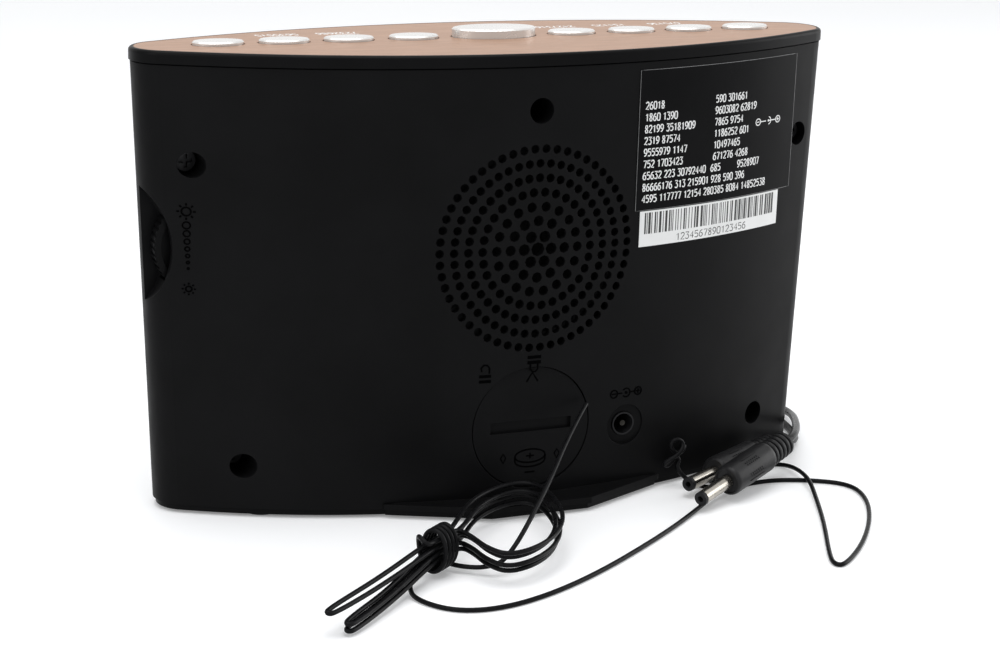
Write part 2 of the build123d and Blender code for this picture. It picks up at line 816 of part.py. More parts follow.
cone_back = flange_front - cone_depth
cone_profile = make_face(Polyline(
    (0, cone_back + dust_cap_rise), (cone_throat / 3, cone_back + 2 * dust_cap_rise / 3),
    (cone_throat / 2, cone_back), (cone_mouth / 2 - cone_thickness, flange_front),
    (mouth, flange_front), (mouth, flange_front - cone_thickness),
    (cone_mouth / 2, flange_front - cone_thickness), (cone_throat / 2, cone_back - cone_thickness),
    (0, cone_back - cone_thickness), close=True))
keep("speaker_cone", Pos(0, 0, grille_level) * revolve(cone_profile, Axis.Y))

speaker_screws = []
for sx, sz in speaker_post_places():
    head = rod_y(sx, sz, speaker_screw_head, speaker_back - speaker_screw_head_height, speaker_back)
    shank = rod_y(sx, sz, speaker_screw, speaker_back,
                  speaker_back + speaker_screw_length - 2 * speaker_screw_head_height)
    speaker_screws.append(head + shank)
keep("speaker_screws", *speaker_screws)


# Shell screws, down in their wells

shell_screws = []
for bx, bz in shell_screw_places:
    seat = shell_screw_joint + shell_screw_web
    head = rod_y(bx, bz, shell_screw_head, seat, seat + shell_screw_head_height)
    cross = block(bx - shell_screw_head / 3, bx + shell_screw_head / 3, seat + shell_screw_head_height / 2,
                  seat + 2 * shell_screw_head_height, bz - shell_screw / 6, bz + shell_screw / 6)
    cross += block(bx - shell_screw / 6, bx + shell_screw / 6, seat + shell_screw_head_height / 2,
                   seat + 2 * shell_screw_head_height, bz - shell_screw_head / 3, bz + shell_screw_head / 3)
    shell_screws.append(head - cross + rod_y(bx, bz, shell_screw, seat - shell_screw_length, seat))
keep("shell_screws", *shell_screws)


# Coin cell, holder, contacts and door

cell_foot = cup_floor_y + contact_spring
keep("cell_holder", ring_y(0, door_level, holder_width, cell_width + 2 * cell_play,
                           cup_floor_y, cell_foot + holder_wall_rise))
keep("coin_cell", rod_y(0, door_level, cell_width, cell_foot, cell_foot + cell_thickness))
tongue = block(-contact_width / 2, contact_width / 2, cup_floor_y, cup_floor_y + contact_thickness,
               door_level - cell_width / 3, door_level + cell_width / 3)
tongue += block(-contact_width / 2, contact_width / 2, cup_floor_y, cell_foot,
                door_level - contact_thickness, door_level + contact_thickness)
keep("cell_contact", tongue)

door = rod_y(0, door_level, door_width, door_seat, door_face)
skirt_foot = door_seat - door_skirt_depth
door += ring_y(0, door_level, door_skirt, door_skirt - 2 * door_ledge, skirt_foot, door_seat)
lug_top = door_seat - door_ledge - door_play
door += door_lugs(0, lug_top - door_lug_thickness, lug_top, 0)
door -= rod_y(0, door_level, door_skirt - 2 * door_ledge, skirt_foot - overrun, door_seat)
slot_level = door_level + door_slot_rise
door -= block(-door_slot_length / 2, door_slot_length / 2, door_face - door_slot_depth, door_face + overrun,
              slot_level - door_slot_width / 2, slot_level + door_slot_width / 2)
keep("battery_door", door)


# Supply socket with its board and the aerial terminal

jack = block(jack_place - jack_body_width / 2, jack_place + jack_body_width / 2,
             jack_body_end, jack_body_back,
             jack_level - jack_body_height / 2, jack_level + jack_body_height / 2)
jack += rod_y(jack_place, jack_level, jack_collar, jack_body_back, jack_front)
jack -= rod_y(jack_place, jack_level, jack_bore, jack_front - jack_bore_depth, jack_front + overrun)
keep("supply_socket", jack)
keep("supply_socket_pin", rod_y(jack_place, jack_level, jack_pin, jack_front - jack_bore_depth,
                                jack_front - jack_collar_proud))
power_board = block(power_board_left, power_board_right, power_board_back - board_thickness,
                    power_board_back, power_board_low, power_board_high)
for px, pz in power_post_places:
    power_board -= rod_y(px, pz, small_screw + 2 * slip, 0, power_board_back + overrun)
keep("power_board", power_board)
board_screws += [small_screw_y(px, pz, power_board_back - board_thickness, small_screw_length, 1)
                 for px, pz in power_post_places]
terminal_front = power_board_back + terminal_depth
keep("aerial_terminal", block(aerial_place - terminal_width / 2, aerial_place + terminal_width / 2,
                              power_board_back, terminal_front,
                              aerial_level - terminal_width / 2, aerial_level + terminal_width / 2))


# Dimmer wheel on its spindle, with the potentiometer and its board

wheel_far = wheel_near + wheel_thickness
wheel = rod_y(wheel_axis, wheel_level, 2 * wheel_radius, wheel_near, wheel_far)
wheel_rim = 2 * (wheel_radius - wheel_web)
for side in (wheel_near - overrun, wheel_far - (wheel_thickness - wheel_web) / 2):
    depth = overrun + (wheel_thickness - wheel_web) / 2
    wheel -= ring_y(wheel_axis, wheel_level, wheel_rim, wheel_hub, side, side + depth)
grip = []
for n in range(wheel_grips):
    turn = 360 * n / wheel_grips
    cut = block(wheel_radius - wheel_grip_depth, wheel_radius + overrun,
                wheel_near - overrun, wheel_far + overrun,
                -wheel_grip_width / 2, wheel_grip_width / 2)
    grip.append(Pos(wheel_axis, 0, wheel_level) * Rot(0, turn, 0) * cut)
wheel -= grip
spindle_foot = pot_near - pot_depth / 2
wheel -= rod_y(wheel_axis, wheel_level, spindle, wheel_near - overrun, wheel_far + overrun)
keep("dimmer_wheel", wheel)
keep("dimmer_spindle", rod_y(wheel_axis, wheel_level, spindle, spindle_foot, wheel_far))
pot = block(wheel_axis - pot_side / 2, wheel_axis + pot_side / 2, pot_near - pot_depth, pot_near,
            wheel_level - pot_side / 2, wheel_level + pot_side / 2)
pot -= rod_y(wheel_axis, wheel_level, spindle + 2 * spindle_play, spindle_foot - spindle_play,
             pot_near + overrun)
keep("dimmer_pot", pot)
pot_board = block(wheel_axis - pot_board_length / 2, wheel_axis + pot_board_length / 2 - overrun,
                  pot_board_front, pot_near - pot_depth,
                  wheel_level - pot_board_height / 2, wheel_level + pot_board_height / 2)
for px, pz in pot_posts:
    pot_board -= rod_y(px, pz, small_screw + 2 * slip, pot_board_front - overrun, pot_near)
keep("dimmer_board", pot_board)
board_screws += [small_screw_y(px, pz, pot_near - pot_depth, small_screw_length, -1)
                 for px, pz in pot_posts]


# Charging socket and its board

usb_front = -usb_mouth + usb_inset
usb_can = block(usb_front, usb_front + usb_length, -usb_height / 2, usb_height / 2,
                usb_level - usb_width / 2, usb_level + usb_width / 2)
usb_floor = usb_front + usb_length - usb_back
usb_can -= block(usb_front - overrun, usb_floor, -usb_height / 2 + usb_skin, usb_height / 2 - usb_skin,
                 usb_level - usb_width / 2 + usb_skin, usb_level + usb_width / 2 - usb_skin)
usb_tongue_top = usb_height / 2 - 3 * usb_skin
usb_can += block(usb_floor - usb_tongue_length, usb_floor, usb_tongue_top - usb_tongue_thickness,
                 usb_tongue_top, usb_level - usb_tongue_width / 2, usb_level + usb_tongue_width / 2)
keep("usb_socket", usb_can)
usb_board = block(usb_board_place - usb_board_length / 2, usb_board_place + usb_board_length / 2,
                  usb_board_front, -usb_height / 2,
                  usb_level - usb_board_height / 2, usb_level + usb_board_height / 2)
for px, pz in usb_posts:
    usb_board -= rod_y(px, pz, small_screw + 2 * slip, usb_board_front - overrun, 0)
keep("usb_board", usb_board)
board_screws += [small_screw_y(px, pz, -usb_height / 2, small_screw_length, -1) for px, pz in usb_posts]


# Main board, display and shaker radio module

main_board = block(-main_board_half_width, main_board_half_width, -main_board_front, main_board_back,
                   main_board_low, main_board_high)
for px, pz in main_posts:
    main_board -= rod_y(px, pz, small_screw + 2 * slip, -main_board_front - overrun, 0)
keep("main_board", main_board)
board_screws += [small_screw_y(px, pz, main_board_back, small_screw_length, -1) for px, pz in main_posts]
keep("board_screws", *board_screws)
keep("display_module", block(-display_half_width, display_half_width, -display_front, -main_board_front,
                             display_low, display_high))


def segment(length):
    """One bar of a digit: a long hexagon in the plane of the display."""
    half, tip = length / 2 - segment_gap, segment_width / 2
    return make_face(Polyline((-half, 0), (-half + tip, tip), (half - tip, tip), (half, 0),
                              (half - tip, -tip), (-half + tip, -tip), close=True))


def digit(x):
    """All seven bars of one digit about its middle."""
    wide, tall = digit_width - segment_width, (digit_height - segment_width) / 2
    across = [Pos(x, level) * segment(wide) for level in (-tall, 0, tall)]
    upright = [Pos(x + side * wide / 2, level * tall / 2) * Rot(0, 0, 90) * segment(tall)
               for side in (-1, 1) for level in (-1, 1)]
    return across + upright


digit_places = [side * (colon_room / 2 + digit_pitch * (2 * n + 1) / 2) for side in (-1, 1) for n in range(2)]
bars = [bar for x in digit_places for bar in digit(x)]
bars += [Pos(0, side * digit_height / 5) * Circle(segment_width / 2) for side in (-1, 1)]
display_middle = (0, -display_front, (display_low + display_high) / 2)
display_plane = Plane(origin=display_middle, x_dir=(1, 0, 0), z_dir=(0, -1, 0))
keep("display_bars", *[extrude(display_plane * bar, segment_rise) for bar in bars])

module_back = main_board_back + board_thickness
module = block(module_place - module_length / 2, module_place + module_length / 2,
               main_board_back, module_back,
               module_level - module_height / 2, module_level + module_height / 2)
module += block(module_place - module_chip / 2, module_place + module_chip / 2,
                module_back, module_back + module_chip_height,
                module_level - module_chip / 2, module_level + module_chip / 2)
whip_place = module_place - module_length / 2 + 2 * module_whip
module += rod_z(whip_place, module_back, module_whip, module_level, module_level + module_whip_length)
keep("shaker_radio_module", module)


# Base plate with its screws and feet

base_foot = casing_foot - base_thickness
base_plan = extrude(Plane(origin=(0, 0, base_foot - casing_foot)) * outline(casing_foot, base_inset),
                    base_thickness)
share_in = base_inset / (ledge_edge - ledge_root)
ledge_plan = make_face(Polyline(
    (ledge_root_half_width - base_inset, ledge_root - base_inset),
    (ledge_edge_half_width - base_inset * (1 - share_in), ledge_edge - base_inset),
    (-ledge_edge_half_width + base_inset * (1 - share_in), ledge_edge - base_inset),
    (-ledge_root_half_width + base_inset, ledge_root - base_inset), close=True))
base = base_plan + extrude(Plane(origin=(0, 0, base_foot)) * ledge_plan, base_thickness)
foot_recess = foot_height - base_foot
for fx, fy in foot_places:
    base -= rod_z(fx, fy, foot_width + 2 * slip, base_foot - overrun, base_foot + foot_recess)
base_head_seat = base_foot + base_screw_head_height
for bx, by in base_screw_places:
    base -= rod_z(bx, by, base_screw_head + 2 * slip, base_foot - overrun, base_head_seat)
    base -= rod_z(bx, by, base_screw + 2 * slip, base_foot, casing_foot + overrun)
keep("base_plate", base)
keep("rubber_feet", *[rod_z(fx, fy, foot_width, 0, foot_height) for fx, fy in foot_places])
base_screw_tip = base_head_seat + base_screw_length - slip
keep("base_screws", *[
    rod_z(bx, by, base_screw_head, base_foot, base_head_seat)
    + rod_z(bx, by, base_screw, base_head_seat, base_screw_tip) for bx, by in base_screw_places])


# Labels: thin films on the back wall

def film(limits):
    """A thin film over part of the back wall, between two sides and two levels."""
    left, right, low, high = limits
    return (form(-label_thickness) - outer_form) & block(left, right, 0, 2 * seam_back_crown, low, high)


keep("rating_label", film(rating_label))
keep("code_label", film(code_label))


# Cords: shared helpers

def tube(path, width, sides):
    """A faceted tube along a path."""
    return sweep(Plane(origin=path @ 0, z_dir=path % 0) * RegularPolygon(width / 2, sides), path=path)


def corner_radii(points):
    """For each corner of a route, 0.45 of its shorter run over the tangent of half the turn."""
    radii = []
    for a, b, c in zip(points, points[1:], points[2:]):
        before, after = Vector(*b) - Vector(*a), Vector(*c) - Vector(*b)
        half_turn = radians(before.get_angle(after)) / 2
        radii.append(route_share * min(before.length, after.length) * cos(half_turn) / sin(half_turn))
    return radii



def route(name, points, width, sides):
    """A free cord's tube along a hand-placed route, with its radii and volume printed."""
    radii = corner_radii(points)
    path = FilletPolyline(*points, radius=radii)
    solid = tube(path, width, sides)
    section = RegularPolygon(width / 2, sides).area
    print(name, "length", round(path.length, 1), "radii", [round(r, 1) for r in radii],
          "volume over section times length", round(solid.volume / (section * path.length), 4))
    keep(name, solid)
    return path


def biarc(p, tp, q, tq):
    """Two tangent arcs from a point and its direction to the next point and its direction."""
    gap, both = q - p, tp + tq
    spread = 2 * (1 - tp.dot(tq))
    if spread > least_turn:
        run = (-gap.dot(both) + sqrt(gap.dot(both) ** 2 + spread * gap.dot(gap))) / spread
    else:
        run = gap.dot(gap) / (2 * gap.dot(both))
    middle = (p + tp * run + q - tq * run) * 0.5
    turn = (middle - p).normalized()
    edges = []
    for a, ta, b in ((p, tp, middle), (middle, turn * (2 * turn.dot(tp)) - tp, q)):
        chord = (b - a).normalized()
        straight = chord.cross(ta).length < least_turn
        edges.append(Edge.make_line(a, b) if straight else Edge.make_tangent_arc(a, ta, b))
    return edges


def wound(name, stations, width, sides):
    """An unbroken wound tube through stations of place and direction, with its least gap printed."""
    edges = []
    for (p, tp), (q, tq) in zip(stations, stations[1:]):
        edges += biarc(p, tp, q, tq)
    path = Wire(edges)
    solid = tube(path, width, sides)
    tightest = min(edge.radius for edge in edges if edge.geom_type == GeomType.CIRCLE)
    section = RegularPolygon(width / 2, sides).area
    print(name, "length", round(path.length, 1), "least radius", round(tightest, 2),
          "least gap", round(least_gap(edges, width), 2),
          "volume over section times length", round(solid.volume / (section * path.length), 4))
    keep(name, solid)
    return path


def least_gap(edges, width):
    """The least gap between parts of a tube that lie more than a few widths apart along it."""
    points, travelled = [], 0
    for edge in edges:
        count = max(int(edge.length / (width / 2)), 1)
        points += [(travelled + edge.length * n / count, edge.position_at(n / count)) for n in range(count)]
        travelled += edge.length
    least = travelled
    for n, (s, p) in enumerate(points):
        for t, q in points[n + 1:]:
            if t - s > 4 * width:
                least = min(least, (p - q).length)
    return least - width


def heading(turn, rise=0):
    """The direction of a heading in plan, in degrees from +X, and of a rise."""
    flat = cos(radians(rise))
    return Vector(flat * cos(radians(turn)), flat * sin(radians(turn)), sin(radians(rise)))


# Plugs

def plug(face, rise):
    """A moulded plug at its face: the barrel with its tip forwards, the body and ribbed relief behind."""
    back = heading(plug_heading, rise)
    frame = Plane(origin=face, z_dir=back * -1)
    barrel = extrude(frame * Circle(plug_barrel / 2), plug_barrel_length - plug_tip_length)
    tip_frame = frame.offset(plug_barrel_length - plug_tip_length)
    tip = extrude(tip_frame * Circle(plug_barrel / 2), plug_tip_length)
    bore = extrude(frame.offset(plug_nose) * Circle(plug_barrel_bore / 2), plug_barrel_length)
    body_end = -plug_body_length
    relief_end = body_end - plug_relief_length
    slot_pitch = plug_relief_length / (relief_ribs + 1)
    rim = [(0, 0), (plug_body / 2 - plug_nose / 2, 0), (plug_body / 2, -plug_nose),
           (plug_body / 2, body_end + plug_nose), (plug_relief / 2, body_end)]
    for n in range(relief_ribs):
        at = body_end - slot_pitch * (n + 1)
        width = plug_relief + (plug_relief_end - plug_relief) * (n + 1) / (relief_ribs + 1)
        rim += [(width / 2, at + relief_slot / 2), (relief_core / 2, at + relief_slot / 2),
                (relief_core / 2, at - relief_slot / 2), (width / 2, at - relief_slot / 2)]
    rim += [(plug_relief_end / 2, relief_end), (0, relief_end)]
    body = revolve(Plane.XZ * make_face(Polyline(*rim, close=True)), Axis.Z)
    body = frame.location * body
    end = Vector(*face) + back * (plug_body_length + plug_relief_length)
    return barrel - bore, tip - bore, body, end, back


near_barrel, near_tip, near_body, near_end, near_way = plug(near_plug_face, near_plug_rise)
far_barrel, far_tip, far_body, far_end, far_way = plug(far_plug_face, far_plug_rise)
keep("plug_barrels", near_barrel, far_barrel)
keep("plug_tips", near_tip, far_tip)
keep("near_plug", near_body)
keep("far_plug", far_body)

# Leads from the plugs to the joint, the coiled lead and the mains adapter

joint_in = Vector(*joint_start)
joint_out = joint_in + Vector(joint_length, 0, 0)
near_lead = [tuple(near_end), tuple(near_end + near_way * near_lead_start)] + list(near_lead_route) + [
    tuple(joint_in + Vector(0, -joint_pitch / 2, 0))]
far_lead = [tuple(far_end), tuple(far_end + far_way * far_lead_start)] + list(far_lead_route) + [
    tuple(joint_in + Vector(0, joint_pitch / 2, 0))]
route("near_lead", near_lead, lead_width, lead_sides)
route("far_lead", far_lead, lead_width, lead_sides)
joint = block(joint_in.X, joint_out.X, joint_in.Y - joint_width / 2, joint_in.Y + joint_width / 2,
              joint_in.Z - joint_height / 2, joint_in.Z + joint_height / 2)
joint = chamfer(joint.edges().filter_by(Axis.X), joint_round)
keep("lead_joint", joint)


def coil_stations():
    """The coiled lead's half turns: they spiral in and out again, and climb a layer at each reversal."""
    north = joint_in.Y
    level = trunk_width / 2 + slip / 2
    place = north
    yield Vector(joint_out.X, north, joint_in.Z), Vector(1, 0, 0)
    yield Vector(coil_place, north, level), Vector(1, 0, 0)
    for half in range(coil_half_turns):
        inwards = half % (2 * coil_half_turns_in)
        radius = coil_outer - coil_step * min(inwards, 2 * coil_half_turns_in - inwards)
        southwards = -1 if half % 2 == 0 else 1
        place += southwards * 2 * radius
        if half and half % coil_half_turns_in == 0:
            level += coil_layer
        yield Vector(coil_place, place, level), Vector(southwards, 0, 0)
    yield Vector(adapter_place - adapter_relief, north, level), Vector(1, 0, 0)


coil = list(coil_stations())
wound("coiled_lead", coil, trunk_width, trunk_sides)
adapter_level = coil[-1][0].Z
adapter = block(adapter_place, adapter_place + adapter_length, joint_in.Y - adapter_width / 2,
                joint_in.Y + adapter_width / 2, 0, 2 * adapter_level)
adapter = chamfer(adapter.edges().filter_by(Axis.X), adapter_round / 2)
relief_tip = Plane(origin=(adapter_place - adapter_relief, joint_in.Y, adapter_level), z_dir=(1, 0, 0))
relief_root = Plane(origin=(adapter_place, joint_in.Y, adapter_level), z_dir=(1, 0, 0))
relief = loft([relief_tip * Circle(adapter_relief_tip / 2), relief_root * Circle(adapter_relief_root / 2)])
keep("mains_adapter", adapter + relief)


def bar_x(y, z, width, x0, x1):
    """A round bar along X between two sides."""
    return extrude(Plane(origin=(x0, y, z), z_dir=(1, 0, 0)) * Circle(width / 2), x1 - x0)


adapter_face = adapter_place + adapter_length
keep("adapter_pins", *[
    bar_x(joint_in.Y + side * pin_pitch / 2, adapter_level, pin_width, adapter_face, adapter_face + pin_length)
    for side in (-1, 1)])


# Aerial wire

tie_along = heading(tie_heading)
tie_across = Vector(-tie_along.Y, tie_along.X, 0)


def at_tie(along, across, level):
    """A place by its distances along and across the tie and its level."""
    flat = Vector(*tie_place, 0) + tie_along * along + tie_across * across
    return Vector(flat.X, flat.Y, level)


def ring_stations(loop):
    """One loop of the hank's ring, spread outwards a little and climbing half a step."""
    for x, y, turn, level, share in hank_ring:
        outwards = Vector(x - hank_middle[0], y - hank_middle[1], 0).normalized()
        spread = outwards * hank_spread[loop]
        yield (Vector(x + spread.X, y + spread.Y, level + hank_step * (loop + share)), heading(turn))


def tail_stations(loop):
    """The fold at the tip of one of the hank's tails."""
    tip = Vector(*tail_tips[loop])
    way = (tip - at_tie(tie_mouth, 0, tip.Z)).normalized()
    side = Vector(-way.Y, way.X, 0)
    fold = tip - way * tail_fold
    yield fold + side * tail_fold, way
    yield fold + way * tail_fold, side * -1
    yield fold - side * tail_fold, way * -1


def hank_stations():
    """The hank: loops stacked at the tie, each a ring on one side and a folded tail on the other."""
    yield at_tie(tie_start, -strand_offset, tie_level), tie_along * -1
    for loop in range(hank_loops):
        level = tie_level + hank_step * loop
        yield at_tie(-tie_mouth_far, -strand_offset, level), tie_along * -1
        yield from ring_stations(loop)
        yield at_tie(-tie_mouth, strand_offset, level + hank_step / 2), tie_along
        yield at_tie(tie_exit, strand_offset, level + hank_step / 2), tie_along
        if loop < hank_loops - 1:
            yield from tail_stations(loop)
            yield at_tie(tie_exit, -strand_offset, level + hank_step), tie_along * -1


def wrap_stations(first):
    """The wraps round the tie, from the hank's last strand to the loose end's start."""
    middle = tie_level + hank_step * (hank_loops - 1 / 2) / 2
    drift = atan2(tie_wrap_step / 4, (tie_half_width + tie_half_height) * pi / 4)
    yield first
    yield at_tie(tie_turn_along, tie_turn_across, tie_turn_level), tie_across * -1
    for quarter in range(int(4 * tie_wraps) + 1):
        turn = pi + quarter * pi / 2
        along = tie_wrap_start - tie_wrap_step * quarter / 4
        place = at_tie(along, tie_half_width * cos(turn), middle + tie_half_height * sin(turn))
        way = tie_across * -sin(turn) + Vector(0, 0, cos(turn))
        yield place, way * cos(drift) - tie_along * sin(drift)


hank = list(hank_stations())
terminal = (aerial_place, terminal_front, aerial_level)
lead_points = [terminal] + list(aerial_knot)
lead_points += [(x, y, aerial_width / 2 + rise) for x, y, rise in aerial_floor]
lead_points += list(aerial_climb) + [tuple(hank[0][0])]
aerial = route("aerial_lead", lead_points, aerial_width, aerial_sides)
loops = wound("aerial_hank", hank, aerial_width, aerial_sides)
wraps = list(wrap_stations(hank[-1]))
band = wound("aerial_wraps", wraps, aerial_width, aerial_sides)
last, way = wraps[-1]
loose_points = [tuple(last), tuple(last + way * loose_start)] + list(loose_end)
loose = route("aerial_end", loose_points, aerial_width, aerial_sides)
chain = [edge for path in (aerial, loops, band, loose) for edge in path.order_edges()]
print("aerial wire in all", round(sum(edge.length for edge in chain), 1),
      "least gap", round(least_gap(chain, aerial_width), 2))


# Files, moved so that the origin lies under the middle of the casing and its ledge

origin_depth = (ledge_edge - seam_front_crown - rim_overhang) / 2
for name, shape in made.items():
    export_step(Pos(0, -origin_depth, 0) * shape, f"parts/{name}.step")
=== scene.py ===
import json
import random
from math import cos, pi, radians, sin, sqrt

import bmesh
import bpy
from mathutils import Matrix, Vector


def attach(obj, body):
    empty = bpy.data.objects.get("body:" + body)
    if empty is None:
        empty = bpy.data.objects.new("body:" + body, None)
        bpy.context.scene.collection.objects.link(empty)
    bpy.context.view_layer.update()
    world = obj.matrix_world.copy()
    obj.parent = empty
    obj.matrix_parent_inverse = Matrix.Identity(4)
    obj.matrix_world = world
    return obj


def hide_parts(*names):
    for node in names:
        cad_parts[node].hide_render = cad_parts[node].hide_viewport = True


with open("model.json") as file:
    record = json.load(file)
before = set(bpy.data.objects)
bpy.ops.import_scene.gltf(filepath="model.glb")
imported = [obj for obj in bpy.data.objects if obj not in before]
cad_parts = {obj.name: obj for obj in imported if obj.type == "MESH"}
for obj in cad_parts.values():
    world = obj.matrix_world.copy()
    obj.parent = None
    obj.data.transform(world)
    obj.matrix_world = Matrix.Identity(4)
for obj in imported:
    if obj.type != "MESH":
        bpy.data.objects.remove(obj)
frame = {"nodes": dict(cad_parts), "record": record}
bpy.context.scene.view_settings.view_transform = "Standard"
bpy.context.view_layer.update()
nodes = frame["nodes"]

# The looks of a bed shaker alarm clock seen from its back. Lengths are millimetres in the drawing's
# frame, whose Y starts at the plane where the two shells part, until they go through at().
origin_depth = 6.6


def at(x, y, z):
    """A place of the drawing in the scene's metres."""
    return Vector((x, y - origin_depth, z)) / 1000


# Camera, at the photograph's place

camera_data = bpy.data.cameras.new("camera")
camera_data.lens = 81.08
camera_data.sensor_width = 36.0
camera_data.clip_start = 0.01
camera_data.clip_end = 50.0
camera = bpy.data.objects.new("camera", camera_data)
bpy.context.scene.collection.objects.link(camera)
turn, fall, roll = radians(22.659), radians(15.241), radians(1.4445)
ahead = Vector((-sin(turn) * cos(fall), -cos(turn) * cos(fall), -sin(fall)))
level_right = ahead.cross(Vector((0, 0, 1))).normalized()
level_up = level_right.cross(ahead)
image_right = level_right * cos(roll) + level_up * sin(roll)
image_up = level_up * cos(roll) - level_right * sin(roll)
axes = Matrix((image_right, image_up, -ahead)).transposed().to_4x4()
camera.matrix_world = Matrix.Translation(Vector((0.2410, 0.58087, 0.21499))) @ axes
bpy.context.scene.camera = camera


# Materials

def noise(tree, place, size, detail):
    """A noise texture on the object's own coordinates."""
    texture = tree.nodes.new("ShaderNodeTexNoise")
    texture.inputs["Scale"].default_value = size
    texture.inputs["Detail"].default_value = detail
    tree.links.new(place, texture.inputs["Vector"])
    return texture


def finish(name, low, high, drift, rough, grain, stretch=(1, 1, 1), edge=0.0, **values):
    """A material whose colour and gloss drift between two tones, under a fine moulded or brushed grain."""
    material = bpy.data.materials.new(name)
    material.use_nodes = True
    tree = material.node_tree
    shader = tree.nodes["Principled BSDF"]
    coordinates = tree.nodes.new("ShaderNodeTexCoord")
    mapping = tree.nodes.new("ShaderNodeMapping")
    mapping.inputs["Scale"].default_value = stretch
    tree.links.new(coordinates.outputs["Object"], mapping.inputs["Vector"])
    place = mapping.outputs["Vector"]
    tones = tree.nodes.new("ShaderNodeValToRGB")
    tones.color_ramp.elements[0].position = 0.35
    tones.color_ramp.elements[1].position = 0.65
    tones.color_ramp.elements[0].color = (*low, 1)
    tones.color_ramp.elements[1].color = (*high, 1)
    tree.links.new(noise(tree, place, drift, 4).outputs["Fac"], tones.inputs["Fac"])
    tree.links.new(tones.outputs["Color"], shader.inputs["Base Color"])
    gloss = tree.nodes.new("ShaderNodeMapRange")
    gloss.inputs["From Min"].default_value = 0.3
    gloss.inputs["From Max"].default_value = 0.7
    gloss.inputs["To Min"].default_value = rough[0]
    gloss.inputs["To Max"].default_value = rough[1]
    tree.links.new(noise(tree, place, drift * 3, 3).outputs["Fac"], gloss.inputs["Value"])
    tree.links.new(gloss.outputs["Result"], shader.inputs["Roughness"])
    bump = tree.nodes.new("ShaderNodeBump")
    bump.inputs["Strength"].default_value = grain[1]
    bump.inputs["Distance"].default_value = grain[2]
    tree.links.new(noise(tree, place, grain[0], 2).outputs["Fac"], bump.inputs["Height"])
    if edge:
        bevel = tree.nodes.new("ShaderNodeBevel")
        bevel.samples = 4
        bevel.inputs["Radius"].default_value = edge / 1000
        tree.links.new(bevel.outputs["Normal"], bump.inputs["Normal"])
    tree.links.new(bump.outputs["Normal"], shader.inputs["Normal"])
    for socket, value in values.items():
        shader.inputs[socket.replace("_", " ")].default_value = value
    return material


casing = finish("casing", (0.0032, 0.0032, 0.0034), (0.0044, 0.0044, 0.0047), 45, (0.38, 0.46),
                (2600, 0.30, 0.00004), edge=0.25, Specular_IOR_Level=0.055)
rim_black = finish("rim_black", (0.0022, 0.0022, 0.0024), (0.0034, 0.0034, 0.0037), 60, (0.30, 0.38),
                   (2200, 0.15, 0.00003), edge=0.2, Specular_IOR_Level=0.06)
copper = finish("copper", (0.34, 0.200, 0.130), (0.41, 0.245, 0.162), 90, (0.38, 0.46),
                (1500, 0.22, 0.00004), (1, 12, 1), Metallic=0.3, Specular_IOR_Level=0.3)
silver = finish("silver", (0.64, 0.63, 0.615), (0.70, 0.69, 0.675), 60, (0.24, 0.29),
                (1800, 0.012, 0.00002), Metallic=0.5, Coat_Weight=0.2, Coat_Roughness=0.2)
smoked = finish("smoked", (0.26, 0.26, 0.27), (0.30, 0.30, 0.31), 30, (0.03, 0.05),
                (300, 0.03, 0.00002), Transmission_Weight=0.95, IOR=1.49)
circuit = finish("circuit", (0.012, 0.085, 0.035), (0.020, 0.12, 0.05), 220, (0.30, 0.42),
                 (900, 0.25, 0.00006))
component = finish("component", (0.008, 0.008, 0.009), (0.014, 0.014, 0.015), 260, (0.42, 0.55),
                   (2400, 0.25, 0.00004), edge=0.15, Specular_IOR_Level=0.15)
segments = finish("segments", (0.66, 0.67, 0.64), (0.74, 0.75, 0.72), 320, (0.30, 0.40),
                  (1200, 0.10, 0.00003))
zinc = finish("zinc", (0.42, 0.42, 0.43), (0.56, 0.56, 0.55), 420, (0.30, 0.45),
              (1800, 0.20, 0.00004), Metallic=1.0)
blackened = finish("blackened", (0.010, 0.010, 0.011), (0.018, 0.018, 0.019), 420, (0.34, 0.48),
                   (1800, 0.20, 0.00004), Metallic=0.8)
# Near-black metal for the socket's pin: painted shade of the deep socket bore, not tarnish
shaded_pin_metal = finish("shaded_pin_metal", (0.020, 0.019, 0.017), (0.040, 0.038, 0.034), 420, (0.30, 0.42),
                   (1800, 0.20, 0.00004), Metallic=1.0)
nickel = finish("nickel", (0.34, 0.32, 0.285), (0.44, 0.415, 0.37), 300, (0.20, 0.28),
                (1500, 0.08, 0.00003), Metallic=1.0)
lacquer = finish("lacquer", (0.010, 0.010, 0.011), (0.018, 0.018, 0.019), 160, (0.32, 0.42),
                 (1800, 0.20, 0.00004), Specular_IOR_Level=0.08)
ferrite = finish("ferrite", (0.045, 0.045, 0.048), (0.075, 0.075, 0.08), 240, (0.55, 0.70),
                 (900, 0.40, 0.0001))
paper = finish("paper", (0.006, 0.006, 0.006), (0.012, 0.012, 0.012), 500, (0.75, 0.90),
               (700, 0.60, 0.0002), Specular_IOR_Level=0.1)
foam = finish("foam", (0.010, 0.010, 0.011), (0.018, 0.018, 0.019), 900, (0.85, 0.95),
              (1300, 0.90, 0.0003), Specular_IOR_Level=0.05)
rubber = finish("rubber", (0.009, 0.009, 0.010), (0.015, 0.015, 0.016), 200, (0.60, 0.72),
                (1600, 0.35, 0.00006), Specular_IOR_Level=0.25)
film_black = finish("film_black", (0.0022, 0.0022, 0.0025), (0.0034, 0.0034, 0.0038), 70, (0.16, 0.24),
                    (260, 0.06, 0.00006), Specular_IOR_Level=0.05)
# Grey for the label film's edge: a painted highlight where the black film's edge catches light
film_edge_highlight = finish("film_edge_highlight", (0.10, 0.10, 0.10), (0.17, 0.17, 0.17), 400, (0.45, 0.55),
                   (1500, 0.05, 0.00002))
film_white = finish("film_white", (0.74, 0.74, 0.73), (0.80, 0.80, 0.79), 80, (0.38, 0.46),
                    (500, 0.08, 0.00004))
